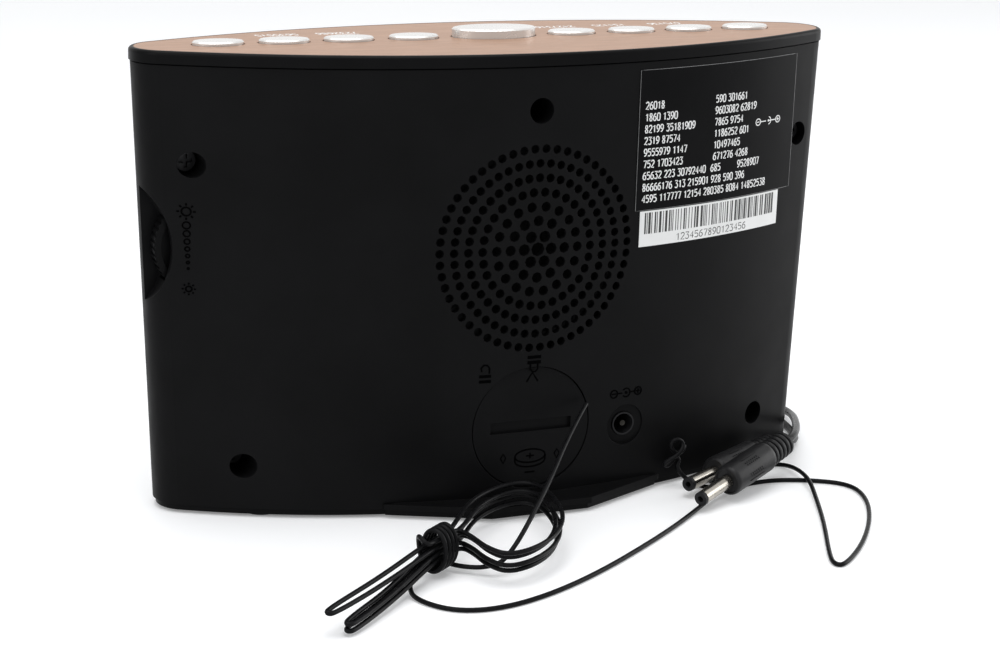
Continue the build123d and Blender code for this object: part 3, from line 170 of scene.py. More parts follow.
sheath = finish("sheath", (0.0045, 0.0045, 0.0050), (0.0080, 0.0080, 0.0086), 240, (0.24, 0.34),
                (1400, 0.18, 0.00005), Specular_IOR_Level=0.06)
moulded = finish("moulded", (0.0080, 0.0080, 0.0086), (0.0125, 0.0125, 0.0132), 240, (0.34, 0.44),
                 (1900, 0.30, 0.00006), Specular_IOR_Level=0.2)
print_white = finish("print_white", (0.72, 0.72, 0.71), (0.80, 0.80, 0.79), 800, (0.40, 0.50),
                     (1500, 0.05, 0.00002))
print_black = finish("print_black", (0.008, 0.008, 0.008), (0.014, 0.014, 0.014), 800, (0.40, 0.50),
                     (1500, 0.05, 0.00002))
# Near-black for marks moulded in the casing's plastic: painted shade standing in for the shade inside the
# engraving
engraving_shade = finish("engraving_shade", (0.0003, 0.0003, 0.0004), (0.0007, 0.0007, 0.0008), 300, (0.40, 0.50),
                    (2600, 0.20, 0.00004), Specular_IOR_Level=0.01)

looks = {
    "charcoal_plastic": casing, "black_plastic": rim_black, "copper_plate": copper, "silver_key": silver,
    "smoked_window": smoked, "circuit_board": circuit, "black_component": component,
    "display_segment": segments, "screw_steel": zinc, "nickel": nickel, "speaker_frame": lacquer,
    "ferrite": ferrite, "paper_cone": paper, "foam": foam, "rubber": rubber, "label_black": film_black,
    "label_white": film_white, "cord_black": sheath,
}
for row in frame["record"]["subparts"]:
    mesh = nodes[row["node"]].data
    mesh.materials.clear()
    mesh.materials.append(looks[row["material_slot"]])
for name in ("near_plug", "far_plug", "lead_joint"):
    nodes[name].data.materials[0] = moulded
nodes["shell_screws"].data.materials[0] = blackened
# The socket pin gets near-black metal as painted shade inside the socket
nodes["supply_socket_pin"].data.materials[0] = shaded_pin_metal
nodes["adapter_pins"].data.materials[0] = nickel


# Cords

def spline(name, points, width, material):
    """A cord along a smooth line through listed control points."""
    curve = bpy.data.curves.new(name, "CURVE")
    curve.dimensions = "3D"
    curve.resolution_u = 8
    curve.bevel_depth = width / 2000
    curve.bevel_resolution = 3
    curve.use_fill_caps = True
    line = curve.splines.new("NURBS")
    line.points.add(len(points) - 1)
    for point, place in zip(line.points, points):
        point.co = (*at(*place), 1)
    line.order_u = 3
    line.use_endpoint_u = True
    curve.materials.append(material)
    cord = bpy.data.objects.new(name, curve)
    bpy.context.scene.collection.objects.link(cord)
    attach(cord, "clock")
    return cord


def heading(angle, rise=0):
    """The direction of a heading in plan, in degrees from +X, and of a rise."""
    flat = cos(radians(rise))
    return Vector((flat * cos(radians(angle)), flat * sin(radians(angle)), sin(radians(rise))))


plug_heading = -151.42
plug_length = 30.3
near_face, near_rise = Vector((-55.35, 48.87, 6.3)), 8.45
far_face, far_rise = Vector((-57.9, 36.3, 4.7)), 1.6
near_way, far_way = heading(plug_heading, near_rise), heading(plug_heading, far_rise)
joint_start = Vector((-90.0, -49.0, 2.6))
joint_length = 15.0
joint_pitch = 3.6

near_lead = [
    near_face + near_way * plug_length, near_face + near_way * (plug_length + 4.9),
    (-95.5, 17.9, 8.9), (-105.8, -1.0, 5.4), (-112.8, -17.0, 2.2), (-113.2, -36.0, 1.25), (-103.0, -50.8, 2.6),
    joint_start - Vector((0, joint_pitch / 2, 0))]
far_lead = [
    far_face + far_way * plug_length, far_face + far_way * (plug_length + 5.0),
    (-102.6, 7.6, 1.25), (-107.4, -10.5, 1.25), (-107.4, -36.0, 1.25), (-100.5, -47.2, 2.6),
    joint_start + Vector((0, joint_pitch / 2, 0))]

coil_place = -42.0
coil_outer = 23.0
coil_step = 2.0
coil_layer = 3.95
coil_half_turns = 16
coil_half_turns_in = 4
coil_points = 8
adapter_place = 2.0
adapter_relief = 12.0


def coil_line():
    """The coiled lead: half turns that spiral in and out again, and climb a layer at each reversal."""
    north, level = joint_start.y, 1.75
    trunk_start = joint_start.x + joint_length
    yield trunk_start, north, joint_start.z
    yield trunk_start + 9.0, north, 2.4
    yield coil_place - 9.0, north, level
    place = north
    for half in range(coil_half_turns):
        inwards = half % (2 * coil_half_turns_in)
        radius = coil_outer - coil_step * min(inwards, 2 * coil_half_turns_in - inwards)
        south = half % 2 == 0
        middle = place + (-radius if south else radius)
        climb = coil_layer if half and half % coil_half_turns_in == 0 else 0
        for step in range(coil_points):
            angle = pi * (step + 0.5) / coil_points
            reach = radius / cos(pi / 2 / coil_points)
            side = 1 if south else -1
            yield (coil_place + side * reach * sin(angle), middle + side * reach * cos(angle),
                   level + climb * step / coil_points)
        place = middle + (-radius if south else radius)
        level += climb
    yield coil_place + 8.0, north, level
    yield adapter_place - adapter_relief - 12.0, north, level
    yield adapter_place - adapter_relief, north, level


coil = list(coil_line())
adapter_level = coil[-1][2]

# The aerial wire: out of its hole through a knot, along the floor, up to the tie, round the hank's
# loops, round the tie, and up to its loose end
aerial_width = 1.3
aerial_knot = [
    (-51.7, 28.6, 10.8), (-51.2, 29.6, 11.5), (-50.3, 30.6, 10.2), (-47.5, 31.8, 10.0), (-45.4, 32.2, 12.2),
    (-45.8, 32.0, 14.2), (-47.9, 31.8, 14.6), (-49.8, 31.6, 13.2), (-49.0, 32.6, 11.5), (-46.9, 33.4, 10.0),
    (-44.7, 33.2, 8.9), (-43.3, 32.6, 7.7), (-44.5, 31.9, 6.5), (-46.3, 31.4, 7.5), (-47.6, 31.2, 9.2),
    (-48.7, 31.8, 8.1), (-47.3, 32.8, 6.8), (-47.9, 33.4, 5.2), (-49.0, 33.8, 3.8), (-50.6, 34.2, 2.4),
    (-52.6, 34.9, 1.2)]
aerial_floor = [
    (-55.0, 36.8, 0), (-60.5, 40.4, 0), (-74.5, 36.9, 0), (-86.5, 40.3, 0), (-97.2, 47.8, 0),
    (-95.2, 60.5, 0), (-86.5, 76.5, 0), (-74.0, 93.0, 0), (-61.6, 104.9, 0), (-59.0, 103.9, 0),
    (-60.7, 98.2, 0), (-73.0, 74.0, 0),
    (-81.3, 55.0, 0.2), (-84.9, 44.8, 1.8), (-86.4, 35.4, 1.8), (-87.2, 25.4, 0), (-81.3, 23.9, 0),
    (-75.2, 32.4, 0.2), (-67.0, 37.3, 1.8), (-58.4, 42.2, 1.8), (-45.0, 52.6, 0.2), (-25.5, 68.8, 0),
    (7.0, 91.8, 0), (31.5, 103.2, 0), (47.5, 102.6, 0), (55.3, 91.5, 0)]
tie_place = Vector((42.4, 75.1, 0))
tie_along = heading(38.0)
tie_across = Vector((-tie_along.y, tie_along.x, 0))
tie_level = 4.4
hank_loops = 4
hank_step = 1.75
hank_spread = (0.0, 0.8, -0.6, 1.4)
hank_middle = Vector((19.0, 66.0, 0))
hank_ring = [
    (31.0, 62.3, 4.5), (24.0, 52.2, 4.7), (15.6, 45.6, 5.0), (7.2, 43.2, 5.3), (2.8, 47.0, 5.3),
    (3.0, 57.0, 5.0), (6.2, 69.6, 4.7), (12.8, 80.2, 4.2), (21.6, 87.2, 4.0), (29.4, 89.0, 4.0),
    (32.4, 83.0, 4.3), (33.0, 75.8, 4.7), (34.6, 71.0, 5.0)]
short_tail = (
    (61.0, 92.7, -2.2), (76.4, 106.6, -3.1), (78.6, 106.9, -2.9), (77.9, 105.0, -2.5), (62.2, 91.5, -1.6))
long_tail = (
    (63.6, 92.6, -1.2), (81.4, 106.3, -1.6), (83.5, 106.6, -1.2), (82.8, 104.9, -0.9), (64.6, 91.2, 0.0))
tail_out = (short_tail, short_tail, long_tail)
strand = 1.15
wrap_points = 12
wraps = 4.25
wrap_step = 1.8
wrap_start = 4.2
wrap_half_width = 3.7
wrap_half_height = 5.5


def tied(along, across, level):
    """A place by its distances along and across the tie and its level."""
    place = tie_place + tie_along * along + tie_across * across
    return place.x, place.y, level


def hank_line():
    """The hank's loops, stacked at the tie: each a ring on one side and a folded tail on the other."""
    for loop in range(hank_loops):
        level = tie_level + hank_step * loop
        yield tied(5.5, -strand, level)
        yield tied(-6.5, -strand, level)
        for x, y, z in hank_ring:
            outwards = (Vector((x, y, 0)) - hank_middle).normalized() * hank_spread[loop]
            yield x + outwards.x, y + outwards.y, z + hank_step * loop
        yield tied(-3.6, strand, level + hank_step / 2)
        yield tied(5.0, strand, level + hank_step / 2)
        if loop < hank_loops - 1:
            for x, y, z in tail_out[loop]:
                yield x, y, level + z


def wrap_line():
    """The wraps round the tie."""
    middle = tie_level + hank_step * (hank_loops - 0.5) / 2
    yield tied(8.2, 0.9, 10.8)
    yield tied(7.6, -1.6, 12.4)
    yield tied(5.6, -3.4, 11.4)
    for step in range(1, int(wraps * wrap_points)):
        angle = pi + 2 * pi * step / wrap_points
        reach = 1 / cos(pi / wrap_points)
        yield tied(wrap_start - wrap_step * step / wrap_points, wrap_half_width * reach * cos(angle),
                   middle + wrap_half_height * reach * sin(angle))


wrap_end = Vector(tied(-3.45, 0.0, 1.96))
loose_end = [wrap_end + tie_across * 5.0, (31.5, 79.8, 2.1), (26.0, 82.4, 4.6), (6.3, 62.4, 17.0),
             (-5.9, 47.3, 24.6), (-15.5, 37.3, 29.8)]
aerial = (
    [(-51.7, 23.7, 10.8)] + aerial_knot + [(x, y, aerial_width / 2 + rise) for x, y, rise in aerial_floor]
    + [(54.2, 83.5, 1.5), (50.3, 80.1, 3.7)] + list(hank_line()) + list(wrap_line()) + [wrap_end] + loose_end)

near_cord = spline("near_cord", near_lead, 2.4, sheath)
far_cord = spline("far_cord", far_lead, 2.4, sheath)
coil_cord = spline("coil_cord", coil, 3.4, sheath)
aerial_cord = spline("aerial_wire", aerial, aerial_width, sheath)
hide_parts("near_lead")
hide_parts("far_lead")
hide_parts("coiled_lead")
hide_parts("aerial_lead", "aerial_hank", "aerial_wraps", "aerial_end")


# Flat and raised marks on a surface

casing_foot, casing_seam = 2.5, 125.3
half_widths = (99.7, 103.9)
back_crowns = (35.1, 35.9)
end_radius = 10.2


def back_depth(x, z):
    """How far the back surface lies from the parting plane at a place."""
    share = (z - casing_foot) / (casing_seam - casing_foot)
    half = half_widths[0] + (half_widths[1] - half_widths[0]) * share
    crown = back_crowns[0] + (back_crowns[1] - back_crowns[0]) * share
    reach = half - end_radius
    arc = (reach**2 + crown**2 - end_radius**2) / (2 * (crown - end_radius))
    if abs(x) > reach * arc / (arc - end_radius):
        return sqrt(max(end_radius**2 - (abs(x) - reach) ** 2, 0))
    return crown - arc + sqrt(arc**2 - x**2)


def on_back(x, z):
    """A place on the back wall, with its outward direction."""
    slope_x = back_depth(x + 0.5, z) - back_depth(x - 0.5, z)
    slope_z = back_depth(x, z + 0.5) - back_depth(x, z - 0.5)
    return Vector((x, back_depth(x, z), z)), Vector((-slope_x, 1, -slope_z)).normalized()


door_face = 34.34


def on_door(x, z):
    """A place on the battery door's flat face."""
    return Vector((x, door_face, z)), Vector((0, 1, 0))


def on_film(x, z):
    """A place on the labels' outer side."""
    place, out = on_back(x, z)
    return place + out * 0.15, out


plate_level = 129.01


def on_plate(x, y):
    """A place on the top plate."""
    return Vector((x, y, plate_level)), Vector((0, 0, 1))


def strip(points, width, closed=False):
    """A stroke of a given width along a line, as pairs of its two edges."""
    pairs = []
    count = len(points)
    for n, (x, y) in enumerate(points):
        before = points[n - 1] if closed or n else points[n]
        after = points[(n + 1) % count] if closed or n < count - 1 else points[n]
        way = Vector((after[0] - before[0], after[1] - before[1])).normalized()
        side = Vector((-way.y, way.x)) * width / 2
        pairs.append(((x + side.x, y + side.y), (x - side.x, y - side.y)))
    return pairs, closed


def circle(x, y, radius, width, sides=20, squash=1.0):
    """A ring as a closed stroke."""
    return strip([(x + radius * cos(2 * pi * n / sides), y + squash * radius * sin(2 * pi * n / sides))
                  for n in range(sides)], width, True)


def disc(x, y, radius, sides=16):
    """A filled round mark."""
    return [(x + radius * cos(2 * pi * n / sides), y + radius * sin(2 * pi * n / sides)) for n in range(sides)]


def bar(x0, y0, x1, y1):
    """A filled upright rectangle."""
    return [(x0, y0), (x1, y0), (x1, y1), (x0, y1)]


crease = radians(35)


def piece_of(name, shape, material, body, smooth=False):
    """A piece made of a finished mesh, riding on a body."""
    bmesh.ops.recalc_face_normals(shape, faces=shape.faces)
    mesh = bpy.data.meshes.new(name)
    shape.to_mesh(mesh)
    shape.free()
    if smooth:
        for face in mesh.polygons:
            face.use_smooth = True
        mesh.set_sharp_from_angle(angle=crease)
    mesh.materials.append(material)
    piece = bpy.data.objects.new(name, mesh)
    bpy.context.scene.collection.objects.link(piece)
    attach(piece, body)
    return piece


def marks(name, surface, strokes, fills, height, material, body, foot=0.05):
    """Thin raised strokes and filled shapes that follow a surface, as one piece."""
    shape = bmesh.new()

    def corner(u, v, rise):
        place, out = surface(u, v)
        return shape.verts.new(at(*(place + out * rise)))

    for pairs, closed in strokes:
        rows = [(corner(*a, -foot), corner(*a, height), corner(*b, height), corner(*b, -foot))
                for a, b in pairs]
        for row, after in zip(rows, rows[1:] + (rows[:1] if closed else [])):
            for n in range(4):
                shape.faces.new((row[n], after[n], after[(n + 1) % 4], row[(n + 1) % 4]))
        if not closed:
            shape.faces.new(rows[0])
            shape.faces.new(rows[-1][::-1])
    for points in fills:
        low = [corner(u, v, -foot) for u, v in points]
        high = [corner(u, v, height) for u, v in points]
        shape.faces.new(high)
        shape.faces.new(low[::-1])
        for n in range(len(points)):
            after = (n + 1) % len(points)
            shape.faces.new((low[n], low[after], high[after], high[n]))
    piece_of(name, shape, material, body)


def sun(x, y, radius, ray, width):
    """A ring with eight rays."""
    strokes = [circle(x, y, radius, width, 16)]
    for n in range(8):
        c, s = cos(pi * n / 4), sin(pi * n / 4)
        strokes.append(strip([(x + (radius + 0.5) * c, y + (radius + 0.5) * s),
                              (x + (radius + 0.5 + ray) * c, y + (radius + 0.5 + ray) * s)], width))
    return strokes


# Marks moulded into the back: brightness beside the wheel, the door's two lock signs and the
# supply socket's polarity, coloured near-black as painted shade of the engraved marks

back_mark_height, door_mark_height = 0.12, 0.09
back_strokes = sun(92.4, 86.2, 1.15, 0.65, 0.42) + sun(91.9, 64.8, 0.75, 0.45, 0.4)
for n in range(7):
    back_strokes.append(circle(92.35 - 0.06 * n, 82.4 - 2.35 * n + 0.06 * n * n, 0.95 - 0.12 * n, 0.36, 14))
back_strokes += [
    strip([(-1.1, 42.3), (-1.1, 40.9), (-0.4, 40.1), (0.4, 40.1), (1.1, 40.9), (1.1, 42.3)], 0.45),
    strip([(13.2, 40.6), (13.2, 42.2), (13.9, 43.0), (14.9, 43.0), (15.6, 42.2), (15.4, 41.2)], 0.45),
]
back_fills = [bar(-2.0, 42.4, 2.0, 43.3), bar(-2.0, 43.9, 2.0, 44.8), bar(12.7, 39.4, 16.1, 40.2),
              bar(12.7, 37.9, 16.1, 38.7)]
socket_level = 30.6
back_strokes += [
    circle(-25.9, socket_level, 1.15, 0.36), circle(-34.1, socket_level, 1.15, 0.36),
    strip([(-26.6, socket_level), (-25.2, socket_level)], 0.36),
    strip([(-34.8, socket_level), (-33.4, socket_level)], 0.36),
    strip([(-34.1, socket_level - 0.7), (-34.1, socket_level + 0.7)], 0.36),
    strip([(-27.1, socket_level), (-28.6, socket_level)], 0.36),
    strip([(-31.0, socket_level), (-32.9, socket_level)], 0.36),
    strip([(-30.0 + 1.3 * cos(radians(a)), socket_level + 1.3 * sin(radians(a)))
           for a in range(40, 321, 28)], 0.36)]
back_fills.append(disc(-30.0, socket_level, 0.45))
marks("back_marks", on_back, back_strokes, back_fills, back_mark_height, engraving_shade, "clock")

door_strokes = [
    strip([(-1.7, 37.0), (0.0, 39.6), (1.7, 37.0)], 0.5),
    circle(0.0, 15.2, 4.6, 0.42, 36, 0.42),
    strip([(4.6 * cos(radians(a)), 13.9 + 1.93 * sin(radians(a))) for a in range(180, 361, 12)], 0.42),
    strip([(-4.6, 15.2), (-4.6, 13.9)], 0.42), strip([(4.6, 15.2), (4.6, 13.9)], 0.42),
    strip([(-1.2, 15.2), (1.2, 15.2)], 0.42), strip([(0.0, 14.4), (0.0, 16.0)], 0.42),
    strip([(-1.5, 10.4), (1.5, 10.4)], 0.45)]
for side in (-1, 1):
    door_strokes.append(strip([(8.2 * side, 13.7), (7.4 * side, 15.2), (8.2 * side, 16.4), (9.0 * side, 15.2)],
                              0.4, True))
marks("door_marks", on_door, door_strokes, [], door_mark_height, engraving_shade, "battery_door")


# Printing on the labels: plain numbers and stripes

numerals = [
    [(0.2, 0), (0.8, 0), (1, 0.3), (1, 1.3), (0.8, 1.6), (0.2, 1.6), (0, 1.3), (0, 0.3), (0.2, 0)],
    [(0.15, 1.25), (0.6, 1.6), (0.6, 0)],
    [(0, 1.3), (0.25, 1.6), (0.75, 1.6), (1, 1.3), (0.95, 1.0), (0, 0), (1, 0)],
    [(0, 1.6), (1, 1.6), (0.45, 0.95), (0.85, 0.85), (1, 0.45), (0.75, 0), (0.25, 0), (0, 0.2)],
    [(0.75, 0), (0.75, 1.6), (0, 0.5), (1, 0.5)],
    [(0.95, 1.6), (0.1, 1.6), (0.05, 0.9), (0.6, 1.0), (1, 0.7), (0.95, 0.25), (0.6, 0), (0, 0.1)],
    [(0.9, 1.6), (0.35, 1.4), (0, 0.8), (0, 0.3), (0.3, 0), (0.75, 0), (1, 0.35), (0.85, 0.85), (0.4, 0.95)],
    [(0, 1.6), (1, 1.6), (0.4, 0)],
    [(0.5, 0.85), (0.1, 1.15), (0.25, 1.6), (0.75, 1.6), (0.9, 1.15), (0.5, 0.85), (0.05, 0.5), (0.25, 0),
     (0.75, 0), (0.95, 0.5), (0.5, 0.85)],
    [(0.1, 0), (0.65, 0.2), (1, 0.8), (1, 1.3), (0.7, 1.6), (0.25, 1.6), (0, 1.25), (0.15, 0.75), (0.6, 0.65)]]
digit_height = 1.6
digit_pitch = 1.42
label_digit, label_digit_height, label_stroke = 0.92, 2.0, 0.36
print_height, print_foot = 0.02, 0.01
dice = random.Random(7)


def number(digits, x, y, wide, high, stroke, reading=-1):
    """A plain number from a place on, as strokes; it reads towards -X on the back."""
    for digit in digits:
        yield strip([(x + reading * wide * u, y + high / digit_height * v) for u, v in numerals[digit]],
                    stroke)
        x += reading * wide * digit_pitch


def row(left, right, level, shortest=3, longest=8):
    """A row of plain numbers between two sides."""
    pitch = label_digit * digit_pitch
    while left - right > pitch * shortest * 0.9:
        count = max(min(dice.randint(shortest, longest), round((left - right) / pitch)), 1)
        digits = [dice.randrange(10) for _ in range(count)]
        yield from number(digits, left, level, label_digit, label_digit_height, label_stroke)
        left -= pitch * (count + 0.6)


label_top, label_pitch = 112.1, 3.3
label_rows = [
    ((-32.4, -42.4), (-57.3, -69.7)), ((-32.4, -43.4), (-57.3, -76.1)), ((-32.4, -51.6), (-57.3, -68.6)),
    ((-32.4, -46.9), (-57.3, -71.4)), ((-32.4, -47.6), (-57.3, -71.0)), ((-32.4, -48.4), (-57.3, -71.0)),
    ((-32.4, -54.8), (-56.6, -60.4), (-67.0, -77.5)), ((-32.4, -73.2),), ((-32.4, -81.0),)]
label_strokes = []
for n, spans in enumerate(label_rows):
    for left, right in spans:
        label_strokes += row(left, right, label_top - label_pitch * n)
label_strokes += [
    circle(-74.7, 104.6, 0.95, 0.3), circle(-83.2, 104.6, 0.95, 0.3),
    strip([(-74.2, 104.6), (-75.2, 104.6)], 0.3),
    strip([(-82.7, 104.6), (-83.7, 104.6)], 0.3), strip([(-83.2, 104.1), (-83.2, 105.1)], 0.3),
    strip([(-75.8, 104.6), (-78.0, 104.6)], 0.3), strip([(-79.4, 104.6), (-82.0, 104.6)], 0.3),
    strip([(-79.0 + 1.1 * cos(radians(a)), 104.6 + 1.1 * sin(radians(a))) for a in range(100, 261, 20)], 0.3)]
marks("rating_print", on_film, label_strokes, [disc(-79.1, 104.6, 0.35, 8)], print_height, print_white,
      "clock", print_foot)

# The film's cut edge, drawn as a thin grey strip all round: a painted highlight where the edge catches light
film_left, film_right, film_low, film_high = -90.4, -30.3, 83.5, 123.1
film_steps = 30
film_step = (film_right - film_left) / film_steps
outline = [(film_left + film_step * n, film_high) for n in range(film_steps + 1)]
outline += [(film_right - film_step * n, film_low) for n in range(film_steps + 1)]
marks("label_edge_highlight", on_film, [strip(outline, 0.15, True)], [], 0.01, film_edge_highlight, "clock",
      print_foot)

stripes = []
place, stripes_end, stripes_low, stripes_high = -33.6, -83.4, 76.6, 82.7
while place > stripes_end:
    width = dice.choice((0.25, 0.25, 0.5, 0.75))
    stripes.append(bar(place - width, stripes_low, place, stripes_high))
    place -= width + dice.choice((0.3, 0.3, 0.55, 0.8))
code_number = list(number([n % 10 for n in range(1, 17)], -45.0, 73.7, 1.2, 1.9, 0.25))
marks("code_print", on_film, code_number, stripes, print_height, print_black, "clock",
      print_foot)


# Printing on the top plate behind the keys, read from the front

plate_strokes = []
for start, count in ((-65.3, 6), (-47.2, 6), (-30.8, 7), (36.0, 7), (53.6, 7)):
    digits = [dice.randrange(10) for _ in range(count)]
    plate_strokes += number(digits, start, -15.2, 1.25, 3.1, 0.5, 1)
marks("plate_print", on_plate, plate_strokes, [], print_height, print_white, "clock",
      print_foot)


# Moulded plug bodies with grip dots and a ribbed relief

bead_radius, ridge_half_width = 0.27, 0.2
bead_sides = 8
bead_levels = ((1.0, -0.1), (0.95, 0.1), (0.6, 0.24))


def lathe(name, profile, origin, way, sides, material, dots=(), ridges=()):
    """A turned body along a direction, from pairs of distance and radius, with domes and ridges on its side."""
    shape = bmesh.new()
    across = way.cross(Vector((0, 0, 1))).normalized()
    up = across.cross(way)

    def spot(along, radius, angle):
        place = origin + way * along + across * radius * cos(angle) + up * radius * sin(angle)
        return shape.verts.new(at(*place))

    rings = [[spot(along, radius, 2 * pi * n / sides) for n in range(sides)] for along, radius in profile]
    for ring, after in zip(rings, rings[1:]):
        for n in range(sides):
            shape.faces.new((ring[n], ring[(n + 1) % sides], after[(n + 1) % sides], after[n]))
    shape.faces.new(rings[0][::-1])
    shape.faces.new(rings[-1])
    raised = [(along, radius, angle, bead_radius, bead_radius) for along, radius, angle in dots]
    raised += [(along, radius, angle, length / 2, ridge_half_width) for along, radius, angle, length in ridges]
    for along, radius, angle, long, wide in raised:
        outline = [(cos(pi * n / 4), sin(pi * n / 4)) for n in range(bead_sides)]
        levels = []
        for share, rise in bead_levels:
            levels.append([spot(along + u * (long - wide + wide * share), radius + rise,
                                angle + v * wide * share / radius) for u, v in outline])
        shape.faces.new(levels[-1])
        shape.faces.new(levels[0][::-1])
        for low, high in zip(levels, levels[1:]):
            for n in range(bead_sides):
                after = (n + 1) % bead_sides
                shape.faces.new((low[n], low[after], high[after], high[n]))
    return piece_of(name, shape, material, "clock", True)


plug_body = 19.8
plug_profile = [
    (0.35, 2.05), (0.35, 3.5), (0.1, 3.6), (0, 3.8), (0.1, 4.1), (0.35, 4.3), (0.8, 4.45), (1.3, 4.5),
    (18.3, 4.5), (19.1, 4.45), (19.6, 4.25), (19.8, 3.9)]
for rib in range(4):
    start = plug_body + 2.1 * rib
    width = 4.0 - 0.06 * rib
    plug_profile += [
        (start + 0.05, 2.5), (start + 0.85, 2.5), (start + 0.9, width - 0.3), (start + 1.1, width - 0.05),
        (start + 1.5, width), (start + 1.9, width - 0.05), (start + 2.08, width - 0.3)]
plug_profile += [
    (28.25, 2.5), (29.05, 2.5), (29.1, 3.4), (29.3, 3.65), (29.9, 3.65), (30.2, 3.4), (30.3, 3.0), (30.3, 1.2)]
dots = [(6.2 + 0.95 * n + stagger, 4.5, radians(angle + half))
        for half in (0, 180) for angle, stagger in ((58, 0), (48, 0.45), (12, 0), (2, 0.45)) for n in range(7)]
ridges = [(9.3, 4.5, radians(angle + half), 7.5) for half in (0, 180) for angle in (-14, 74)]

near_plug = lathe("near_plug_body", plug_profile, near_face, near_way, 40, moulded, dots, ridges)
far_plug = lathe("far_plug_body", plug_profile, far_face, far_way, 40, moulded, dots, ridges)
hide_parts("near_plug")
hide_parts("far_plug")


# Mains adapter: a rounded housing of two halves, its ribbed relief and plain printing

adapter_length, adapter_width = 52.0, 38.0
adapter_face = adapter_place + adapter_length


def rounded(x, inset, corner, steps=5):
    """A rounded rectangle across the adapter, as a ring of places."""
    half_y, half_z = adapter_width / 2 - inset - corner, adapter_level - inset - corner
    for quarter in range(4):
        middle_y = joint_start.y + (half_y if quarter in (0, 3) else -half_y)
        middle_z = adapter_level + (half_z if quarter in (0, 1) else -half_z)
        for step in range(steps + 1):
            angle = pi / 2 * (quarter + step / steps)
            yield x, middle_y + corner * cos(angle), middle_z + corner * sin(angle)


def round_ring(x, radius, sides=24):
    """A circle across the relief, as a ring of places."""
    for n in range(sides):
        angle = 2 * pi * n / sides
        yield x, joint_start.y + radius * cos(angle), adapter_level + radius * sin(angle)


def skin(shape, rings):
    """A closed skin through rings of places."""
    rings = [[shape.verts.new(at(*place)) for place in ring] for ring in rings]
    for ring, after in zip(rings, rings[1:]):
        for n in range(len(ring)):
            shape.faces.new((ring[n], ring[(n + 1) % len(ring)], after[(n + 1) % len(ring)], after[n]))
    shape.faces.new(rings[0][::-1])
    shape.faces.new(rings[-1])


housing_corner = 3.0
housing_profile = [
    (0, 1.6), (0.25, 0.9), (0.8, 0.3), (1.6, 0), (25.6, 0), (25.75, 0.35), (26.25, 0.35), (26.4, 0),
    (48.6, 0), (48.8, 0.9), (51.2, 0.9), (51.7, 1.2), (52.0, 1.8)]
relief_profile = [(-12.0, 1.8), (-12.0, 2.2), (-11.7, 2.5)]
for rib in range(4):
    start, width = -10.6 + 2.5 * rib, 2.65 + 0.3 * rib
    relief_profile += [(start, width), (start + 0.1, 2.0), (start + 0.9, 2.0), (start + 1.0, width + 0.1)]
relief_profile += [(0.2, 4.0), (0.4, 4.0)]
housing = bmesh.new()
skin(housing, [list(rounded(adapter_place + x, inset, housing_corner)) for x, inset in housing_profile])
skin(housing, [list(round_ring(adapter_place + x, radius)) for x, radius in relief_profile])
adapter = piece_of("adapter_housing", housing, moulded, "clock", True)
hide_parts("mains_adapter")


def on_adapter(x, back):
    """A place on the adapter's top, by its side and its distance in front."""
    return Vector((x, -back, 2 * adapter_level)), Vector((0, 0, 1))


adapter_rows = []
for n in range(5):
    adapter_rows += row(adapter_face - 7.0, adapter_face - 7.0 - dice.uniform(11, 15), 55.5 - 3.4 * n)
adapter_rows.append(strip([(29.8, 37.0), (29.8, 61.0)], 0.3))
marks("adapter_print", on_adapter, adapter_rows, [], print_height, print_white, "clock",
      print_foot)

at(*coil[-1])


# Floor, backdrop and studio light

floor_half, floor_drop, floor_glow = 4.0, 0.00005, 0.2
floor_mesh = bpy.data.meshes.new("floor")
floor_corners = [(x * floor_half, y * floor_half, 0) for x, y in ((-1, -1), (1, -1), (1, 1), (-1, 1))]
floor_mesh.from_pydata(floor_corners, [], [(0, 1, 2, 3)])
floor = bpy.data.objects.new("floor", floor_mesh)
bpy.context.scene.collection.objects.link(floor)
pale = finish("floor", (0.86, 0.86, 0.87), (0.88, 0.88, 0.88), 3, (0.55, 0.6), (300, 0.02, 0.0001))
floor_mesh.materials.append(pale)
floor.location.z = -floor_drop


def seen_directly(tree):
    """One for the camera, for mirrored and for refracted rays, else nought."""
    ray = tree.nodes.new("ShaderNodeLightPath")
    total = ray.outputs["Is Camera Ray"]
    for kind in ("Is Glossy Ray", "Is Transmission Ray"):
        either = tree.nodes.new("ShaderNodeMath")
        either.operation = "MAXIMUM"
        tree.links.new(total, either.inputs[0])
        tree.links.new(ray.outputs[kind], either.inputs[1])
        total = either.outputs["Value"]
    return total


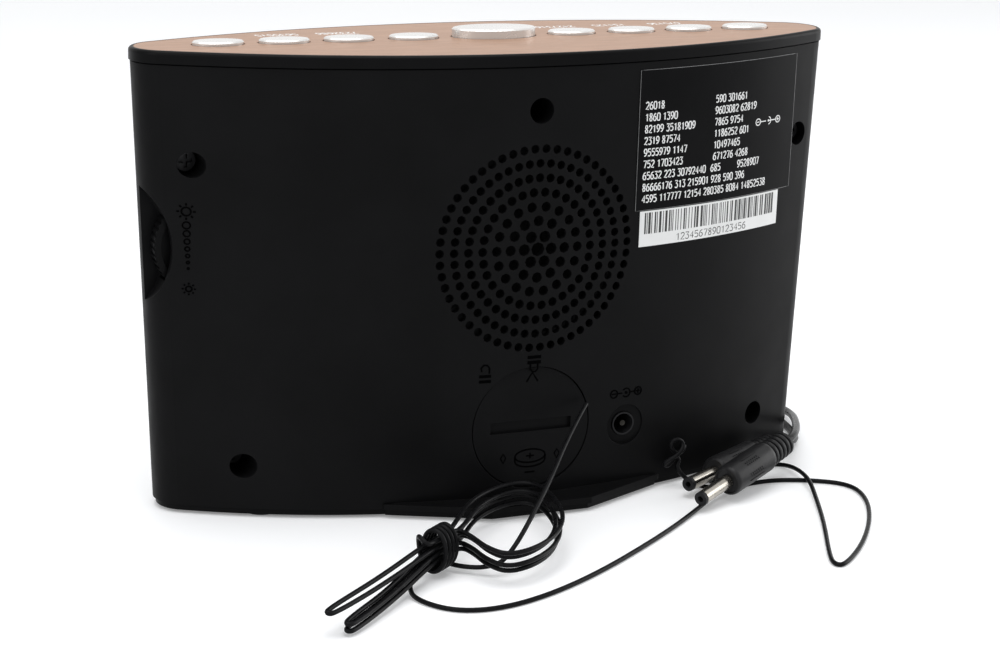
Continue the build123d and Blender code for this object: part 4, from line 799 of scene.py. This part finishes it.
tree = pale.node_tree
glow = tree.nodes.new("ShaderNodeEmission")
glow.inputs["Color"].default_value = (1, 1, 1, 1)
share = tree.nodes.new("ShaderNodeMath")
share.operation = "MULTIPLY"
share.inputs[1].default_value = floor_glow
tree.links.new(seen_directly(tree), share.inputs[0])
tree.links.new(share.outputs["Value"], glow.inputs["Strength"])
both = tree.nodes.new("ShaderNodeAddShader")
tree.links.new(tree.nodes["Principled BSDF"].outputs["BSDF"], both.inputs[0])
tree.links.new(glow.outputs["Emission"], both.inputs[1])
tree.links.new(both.outputs["Shader"], tree.nodes["Material Output"].inputs["Surface"])

world = bpy.data.worlds.new("studio")
bpy.context.scene.world = world
world.use_nodes = True
sky = world.node_tree
background = sky.nodes["Background"]
background.inputs["Color"].default_value = (0.94, 0.97, 1.0, 1)
background.inputs["Strength"].default_value = 0.55
seen = sky.nodes.new("ShaderNodeBackground")
seen.inputs["Color"].default_value = (1, 1, 1, 1)
seen.inputs["Strength"].default_value = 1.0
mix = sky.nodes.new("ShaderNodeMixShader")
sky.links.new(seen_directly(sky), mix.inputs["Fac"])
sky.links.new(background.outputs["Background"], mix.inputs[1])
sky.links.new(seen.outputs["Background"], mix.inputs[2])
sky.links.new(mix.outputs["Shader"], sky.nodes["World Output"].inputs["Surface"])


def softbox(name, place, target, size, power, tint=(1, 1, 1)):
    """A square soft light at a place, aimed at a point."""
    light = bpy.data.lights.new(name, "AREA")
    light.shape = "SQUARE"
    light.size = size
    light.energy = power
    light.color = tint
    lamp = bpy.data.objects.new(name, light)
    bpy.context.scene.collection.objects.link(lamp)
    lamp.location = place
    lamp.visible_camera = False
    lamp.rotation_mode = "QUATERNION"
    lamp.rotation_quaternion = (Vector(target) - Vector(place)).to_track_quat("-Z", "Y")


softbox("overhead", (0.1, 0.1, 1.3), (0, 0, 0), 1.2, 13.0)
softbox("left", (1.1, 0.7, 0.7), (0, 0, 0.06), 0.8, 4.0)
softbox("right", (-1.2, 0.02, 0.36), (0, 0, 0.06), 0.7, 5.0)
